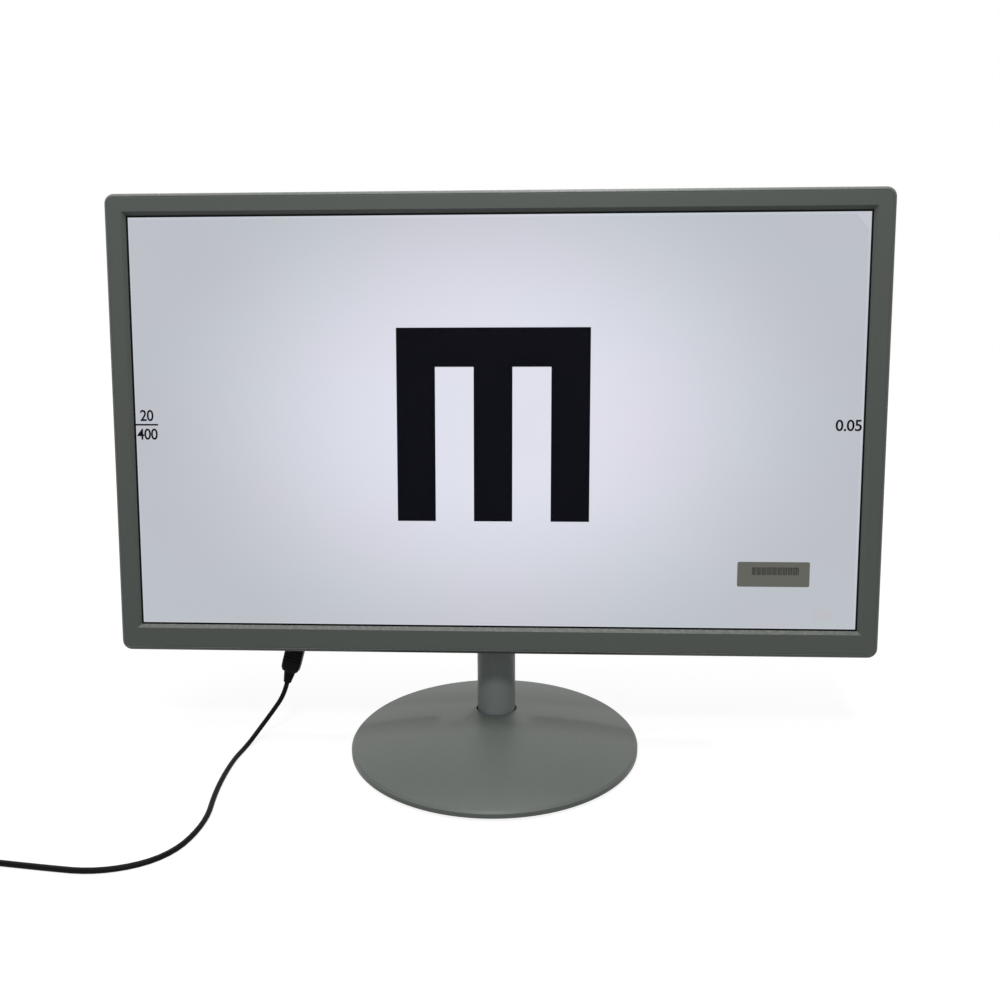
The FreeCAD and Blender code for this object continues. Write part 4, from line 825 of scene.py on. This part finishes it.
film_left, film_right, film_low, film_high = FILM
film_outline = [
    (film_left, film_low),
    (film_right, film_low),
    (film_right, film_high - FILM_CUT[1]),
    (film_right - FILM_CUT[0], film_high),
    (film_left, film_high),
]


def plate_faces(count):
    """Faces of a thin plate whose front points come first and back points after."""
    front = tuple(range(count))
    back = tuple(range(2 * count - 1, count - 1, -1))
    sides = [(i, (i + 1) % count, (i + 1) % count + count, i + count) for i in range(count)]
    return [front, back, *sides]


def film_finish():
    """Clear film that dims the screen a little, with one faint smudge near its lower right corner."""
    made = coated("film_clear", FILM_TONE, rough=0.25, spread=0.05, grain=60.0, bump=0.00002, shine=0.03)
    tree = made.node_tree
    shader = tree.nodes["Principled BSDF"]
    tone = shader.inputs["Base Color"].links[0].from_socket
    smudge_at = head_place @ Vector((SMUDGE_MIDDLE[0], FILM_FRONT, SMUDGE_MIDDLE[1]))
    place = add_node(tree, "ShaderNodeTexCoord")
    centre = add_node(
        tree, "ShaderNodeMapping", {"Vector": place.outputs["Object"], "Location": -smudge_at}
    )
    oval = add_node(
        tree,
        "ShaderNodeMapping",
        {
            "Vector": centre.outputs["Vector"],
            "Scale": (1 / SMUDGE_HALF[0], 1 / SMUDGE_HALF[1], 1 / SMUDGE_HALF[1]),
        },
    )
    spot = add_node(
        tree, "ShaderNodeTexGradient", {"Vector": oval.outputs["Vector"]}, gradient_type="SPHERICAL"
    )
    soft = add_node(
        tree,
        "ShaderNodeMapRange",
        {"Value": spot.outputs["Fac"], "From Max": 0.35},
        interpolation_type="SMOOTHSTEP",
    )
    haze = add_node(
        tree,
        "ShaderNodeMapRange",
        {"Value": soft.outputs["Result"], "To Min": FILM_HAZE, "To Max": FILM_HAZE + SMUDGE_HAZE},
    )
    colour = add_node(
        tree,
        "ShaderNodeMix",
        {"Factor": soft.outputs["Result"], "A": tone, "B": (*SMUDGE_TONE, 1.0)},
        data_type="RGBA",
    )
    feed(tree, shader, {"Base Color": colour.outputs["Result"], "Alpha": haze.outputs["Result"]})
    return made


film_clear = film_finish()
film_piece = piece(
    "film_sheet",
    [(x, FILM_FRONT, z) for x, z in film_outline] + [(x, FILM_BACK, z) for x, z in film_outline],
    plate_faces(len(film_outline)),
    film_clear,
    "head",
    place=head_place,
)
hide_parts("screen_film")

# Label: a small grey paper sticker with rounded corners, stuck on the film near its lower right corner.
# It carries a plain row of printed bars and no words.

LABEL = (0.1775, 0.2295, -0.1173, -0.0990)
LABEL_THICK = 0.00008
LABEL_CORNER = 0.0012
LABEL_PAPER = (0.200, 0.200, 0.177)
LABEL_INK = (0.012, 0.011, 0.010)
BARS = (0.1881, 0.2221, -0.1086, -0.1029)
BAR_COUNT = 38
BAR_THIN = 0.35
BAR_MORE = 0.35
BAR_PROUD = 0.00003


def rounded_ring(left, right, low, high, radius, steps=4):
    """Points round a rectangle with rounded corners, from its right side up and round to the left."""
    points = []
    for middle_x, middle_z, start in (
        (right - radius, high - radius, 0),
        (left + radius, high - radius, 90),
        (left + radius, low + radius, 180),
        (right - radius, low + radius, 270),
    ):
        for step in range(steps + 1):
            angle = math.radians(start + 90 / steps * step)
            points.append((middle_x + radius * math.cos(angle), middle_z + radius * math.sin(angle)))
    return points


label_outline = rounded_ring(*LABEL, LABEL_CORNER)
label_front = FILM_FRONT - LABEL_THICK
label_paper = coated(
    "label_paper", LABEL_PAPER, rough=0.7, spread=0.08, grain=2200.0, clouds=60.0, bump=0.00003, shine=0.2
)
piece(
    "label_paper",
    [(x, label_front, z) for x, z in label_outline] + [(x, FILM_FRONT, z) for x, z in label_outline],
    plate_faces(len(label_outline)),
    label_paper,
    "head",
    place=head_place,
)
bars_left, bars_right, bars_low, bars_high = BARS
bar_points = []
bar_faces = []
bar_pitch = (bars_right - bars_left) / BAR_COUNT
for number in range(BAR_COUNT):
    weight = BAR_THIN + BAR_MORE * (0.5 + 0.5 * math.sin(number * 2.4) * math.cos(number * 0.9))
    left = bars_left + number * bar_pitch
    right = left + bar_pitch * weight
    first = len(bar_points)
    for x, z in ((left, bars_low), (right, bars_low), (right, bars_high), (left, bars_high)):
        bar_points.append((x, label_front - BAR_PROUD, z))
    bar_faces.append((first, first + 1, first + 2, first + 3))
piece(
    "label_bars",
    bar_points,
    bar_faces,
    coated("label_ink", LABEL_INK, rough=0.6, spread=0.3, grain=900.0, shine=0.2),
    "head",
    place=head_place,
)

# Chassis and boards: a pressed steel plate behind the module carries the picture board and the lamp
# driver on pillars.

dress("chassis_plate", plated)
for part in ("main_board", "power_board", "key_board"):
    dress(part, board_green)
dress("board_screws", plated)

# Front bezel: a moulded frame round the screen with a rounded front edge and a lip that slopes in to
# the glass. It clips into the rear cover.

BEZEL_GREY = (0.092, 0.105, 0.096)
OPEN_HALF = (0.26482, 0.14953)
BEZEL_STEPS = 7
# Its dust amount is high, so its upward top rounding turns pale: a painted highlight, besides a little
# dust.
bezel_plastic = coated(
    "bezel_plastic", BEZEL_GREY, rough=0.48, grain=2200.0, clouds=6.0, bump=0.000016, dust_and_highlight=0.5, shine=0.25
)
OUTER = (-0.2800, 0.2800, -0.1692, 0.1649)
OPENING = (-OPEN_HALF[0], OPEN_HALF[0], -OPEN_HALF[1], OPEN_HALF[1])
LIP_SLOPE = 0.0024
BEZEL_SECTION = (
    (OUTER, 0.0003, 0.0067, 0.0050),
    (OUTER, 0.0, 0.0070, 0.0047),
    (OUTER, 0.0, 0.0070, -0.0004),
    (OUTER, 0.0002, 0.0068, -0.0009),
    (OUTER, 0.0021, 0.0055, -0.0028),
    (OUTER, 0.0025, 0.0052, -0.0030),
    (OUTER, 0.0027, 0.0050, -0.0028),
    (OUTER, 0.0031, 0.0047, -0.0028),
    (OUTER, 0.0033, 0.0045, -0.0030),
    (OPENING, -LIP_SLOPE, 0.0003, -0.0030),
    (OPENING, -0.0001, 0.0002, -0.0006),
    (OPENING, 0.0, 0.0002, -0.0004),
    (OUTER, 0.0022, 0.0048, -0.0004),
    (OUTER, 0.0022, 0.0048, 0.0050),
)

# Each row is one ring of the frame, from its back edge round over the face and the lip: the outline it
# follows, how far in from it, its corner radius and its depth.
bezel_points = []
for outline, inset, radius, depth in BEZEL_SECTION:
    left, right, low, high = outline
    ring = rounded_ring(left + inset, right - inset, low + inset, high - inset, radius, BEZEL_STEPS)
    bezel_points += [(x, depth, z) for x, z in ring]
bezel = piece(
    "bezel_frame",
    bezel_points,
    ring_faces(len(BEZEL_SECTION), 4 * (BEZEL_STEPS + 1), closed=True),
    bezel_plastic,
    "head",
    smooth=True,
    place=head_place,
)
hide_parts("front_bezel")

# Rear cover and electronics cover: two mouldings in the bezel's plastic with a coarser grain. The deep
# one holds the boards, carries brass inserts for a wall bracket and has a row of vents.

BACK_GREY = (0.105, 0.119, 0.109)
BRASS_YELLOW = (0.55, 0.40, 0.16)
back_plastic = coated(
    "back_plastic", BACK_GREY, rough=0.56, grain=1500.0, clouds=6.0, bump=0.00005, dust_and_highlight=0.4, shine=0.3
)
dress("rear_cover", back_plastic)
dress("electronics_cover", back_plastic)
brass = coated("brass", BRASS_YELLOW, rough=0.3, spread=0.12, grain=800.0, bump=0.000004, metal=1.0)
dress("vesa_inserts", brass)
screws_for("rear_screws", "cover_screws", COVER_SCREW, head_back, "head")
screws_for("deep_screws", "anchor_screws", COVER_SCREW, head_back, "head")

# Keys: five small moulded push keys in the cover's plastic. They stand through the back of the rim, and
# each rests on a switch of the key board.

for joint in frame["joints"]:
    if joint["name"].endswith("_press"):
        dress(joint["child"], back_plastic)

# Sockets: two nickel plated shells at the bottom edge of the electronics cover, and the black power
# socket beside them.

SOCKET_BLACK = (0.018, 0.018, 0.019)
dress("hdmi_socket", plated)
dress("usb_socket", plated)
dress("dc_jack", coated("socket_plastic", SOCKET_BLACK, rough=0.45, spread=0.2))

# Power lead: a black round lead from the plug down to the table, forward past the foot and out of
# view to the left, where its spare length is wound in a coil before it enters the plug-top supply.

LEAD_BLACK = (0.0035, 0.0035, 0.0040)
LEAD_THICK = 0.0037
TABLE_RISE = 0.0019
LEAD_EXIT = Vector((-0.1630, 0.01094, 0.04386))
LEAD_WAY = Vector((-0.2554, -0.1011, -0.9615))
LEAD_FALL = [(-0.1750, 0.0076, 0.0205), (-0.1840, 0.0008, 0.0088)]
LEAD_TABLE = [
    (-0.1896, -0.0130),
    (-0.1930, -0.0380),
    (-0.1905, -0.0800),
    (-0.1825, -0.1200),
    (-0.1915, -0.1580),
    (-0.2260, -0.1750),
    (-0.2680, -0.1705),
]
COIL_MIDDLE = Vector((-0.320, -0.190, 0.0))
COIL_STEPS = 12
TURN_CHANGE = 3
TURN_RADII = (0.0253, 0.0216, 0.0179, 0.0179, 0.0216, 0.0253, 0.0253, 0.0216)
TURN_RISES = (0.0019, 0.0019, 0.0019, 0.0056, 0.0056, 0.0056, 0.0093, 0.0093)
COIL_EXIT = (
    (30, 0.0226, 0.0125),
    (60, 0.0250, 0.0134),
    (90, 0.0280, 0.0126),
    (120, 0.0300, 0.0095),
    (150, 0.0304, 0.0055),
    (180, 0.0296, 0.0026),
)
ADAPTER_MIDDLE = -0.341
ADAPTER_END = -0.264
RELIEF_RISE = 0.0050
RELIEF_TIP = 0.024
RELIEF_ROOT = 0.010
LEAD_STRAIGHT = 0.0105
LEAD_SIDES = 10

lead_route = [LEAD_EXIT, LEAD_EXIT + LEAD_WAY * LEAD_STRAIGHT]
lead_route += [Vector(spot) for spot in LEAD_FALL]
lead_route += [Vector((x, y, TABLE_RISE)) for x, y in LEAD_TABLE]
corner_reach = 1 / math.cos(math.pi / COIL_STEPS)
for number, (radius, rise) in enumerate(zip(TURN_RADII, TURN_RISES)):
    last_turn = number + 1 == len(TURN_RADII)
    next_radius = radius if last_turn else TURN_RADII[number + 1]
    next_rise = rise if last_turn else TURN_RISES[number + 1]
    for step in range(COIL_STEPS):
        if last_turn and step > COIL_STEPS - TURN_CHANGE:
            break
        share = max(0.0, (step - COIL_STEPS + TURN_CHANGE) / TURN_CHANGE)
        angle = math.radians(90 + 360 / COIL_STEPS * step)
        reach = (radius + (next_radius - radius) * share) * corner_reach
        lead_route.append(
            COIL_MIDDLE
            + Vector((reach * math.cos(angle), reach * math.sin(angle), rise + (next_rise - rise) * share))
        )
for degrees, reach, rise in COIL_EXIT:
    angle = math.radians(degrees)
    lead_route.append(COIL_MIDDLE + Vector((reach * math.cos(angle), reach * math.sin(angle), rise)))
lead_route += [
    COIL_MIDDLE + Vector((-0.0275, -0.0150, TABLE_RISE)),
    COIL_MIDDLE + Vector((-0.0240, -0.0320, 0.0024)),
    Vector((ADAPTER_MIDDLE, ADAPTER_END + RELIEF_TIP, RELIEF_RISE)),
    Vector((ADAPTER_MIDDLE, ADAPTER_END + RELIEF_ROOT, RELIEF_RISE)),
]


def smooth_route(points):
    """Points along the smooth curve that a route's points steer."""
    data = bpy.data.curves.new("route", "CURVE")
    data.dimensions = "3D"
    data.resolution_u = 6
    line = data.splines.new("NURBS")
    line.points.add(len(points) - 1)
    for spot, point in zip(line.points, points):
        spot.co = (*point, 1.0)
    line.order_u = 3
    line.use_endpoint_u = True
    thing = bpy.data.objects.new("route", data)
    bpy.context.scene.collection.objects.link(thing)
    bpy.context.view_layer.update()
    made = bpy.data.meshes.new_from_object(thing)
    path = [v.co.copy() for v in made.vertices]
    bpy.data.meshes.remove(made)
    bpy.data.objects.remove(thing)
    return path


def tube_along(path, radius, ring):
    """Rings of points round a path, one after another without a twist."""
    points = []
    side = Vector((0.0, 1.0, 0.0))
    for number, at in enumerate(path):
        before = path[max(0, number - 1)]
        after = path[min(len(path) - 1, number + 1)]
        way = (after - before).normalized()
        side = (side - way * side.dot(way)).normalized()
        other = way.cross(side)
        for step in range(ring):
            angle = 2 * math.pi * step / ring
            points.append(at + radius * (math.cos(angle) * side + math.sin(angle) * other))
    return points


lead_path = smooth_route(lead_route)
lead_points = tube_along(lead_path, LEAD_THICK / 2, LEAD_SIDES)
lead_faces = ring_faces(len(lead_path), LEAD_SIDES)
lead_skin = coated(
    "lead_rubber", LEAD_BLACK, rough=0.5, spread=0.2, grain=1600.0, bump=0.00002, dust_and_highlight=0.02, shine=0.08
)
lead = piece("power_lead", lead_points, lead_faces, lead_skin, None, smooth=True)
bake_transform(lead)
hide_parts("lead_drop", "lead_floor", "lead_coil", "lead_tail")

# Plug and supply: a black moulded plug with a stepped shoulder, and a square plug-top supply with two
# round pins, lying on its side beyond the coil.

PLUG_FROM = (-0.1515, 0.0261, -0.1580)
PLUG_LEAN = math.radians(14.8)
NOSE_RADIUS = 0.00272
NOSE_LONG = 0.0095
NOSE_SUNK = 0.0002
PLUG_STEPS = 5
PLUG_HALF = (0.0072, 0.0050, 0.0026)
PLUG_SECTION = (
    (0.00015, 0.0060, 0.0042, 0.0030),
    (0.0008, 0.0069, 0.0047, 0.0028),
    (0.0030, 0.0073, 0.0050, 0.0026),
    (0.0120, 0.0073, 0.0050, 0.0026),
    (0.0300, 0.0071, 0.0049, 0.0026),
    (0.0330, 0.0069, 0.0048, 0.0027),
    (0.0350, 0.0060, 0.0044, 0.0030),
    (0.0356, 0.0050, 0.0040, 0.0034),
)
GRIP_AFTER = 0.0120
GRIP_FIRST = 0.0150
GRIP_PITCH = 0.0026
GRIP_COUNT = 5
GRIP_SUNK = 0.0004
RELIEF_FROM = 0.0360
RELIEF_STEP = 0.0015
RELIEF_COUNT = 6
RELIEF_WIDE = (0.0044, 0.0028)
RELIEF_FLAT = 0.0038
RELIEF_ROUND = 0.98
RELIEF_SUNK = 0.0005
RELIEF_END = 0.0450
plug_black = coated(
    "plug_plastic", LEAD_BLACK, rough=0.42, spread=0.2, grain=1800.0, bump=0.00003, shine=0.08
)

# A section is how far down the plug it lies, half its width, half its depth and its corner radius.
grip_wide, grip_thick, grip_round = PLUG_HALF
plug_sections = [section for section in PLUG_SECTION if section[0] <= GRIP_AFTER]
for number in range(GRIP_COUNT):
    start = GRIP_FIRST + number * GRIP_PITCH
    for along, sunk in ((0.0, 0.0), (0.0003, GRIP_SUNK), (0.0010, GRIP_SUNK), (0.0013, 0.0)):
        plug_sections.append((start + along, grip_wide, grip_thick - sunk, grip_round))
plug_sections += [section for section in PLUG_SECTION if section[0] > GRIP_AFTER]
for number in range(RELIEF_COUNT):
    start = RELIEF_FROM + number * RELIEF_STEP
    share = number / RELIEF_COUNT
    reach = RELIEF_WIDE[0] + (RELIEF_WIDE[1] - RELIEF_WIDE[0]) * share
    for along, sunk in ((0.0, 0.0), (0.0009, 0.0), (0.0010, RELIEF_SUNK), (0.0014, RELIEF_SUNK)):
        side = reach - sunk
        flat = min(side, RELIEF_FLAT - sunk)
        plug_sections.append((start + along, side, flat, RELIEF_ROUND * flat))
plug_sections.append((RELIEF_END, 0.0023, 0.0023, 0.00225))
plug_place = head_place @ Matrix.Translation(PLUG_FROM) @ Matrix.Rotation(PLUG_LEAN, 4, "Y")
plug_points = []
for down, wide, thick, radius in plug_sections:
    ring = rounded_ring(-wide, wide, -thick, thick, radius, PLUG_STEPS)
    plug_points += [(x, y, -down) for x, y in ring]
plug_sides = 4 * (PLUG_STEPS + 1)
plug_faces = ring_faces(len(plug_sections), plug_sides)
first = len(plug_points)
for up in (-NOSE_SUNK, NOSE_LONG):
    for step in range(plug_sides):
        angle = 2 * math.pi * step / plug_sides
        plug_points.append((NOSE_RADIUS * math.cos(angle), NOSE_RADIUS * math.sin(angle), up))
plug_faces += [tuple(first + spot for spot in face) for face in ring_faces(2, plug_sides)]
plug = piece(
    "lead_plug", plug_points, plug_faces, plug_black, "head", smooth=True, place=plug_place
)
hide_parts("dc_plug")
dress("power_adapter", plug_black)
dress("adapter_prongs", plated)
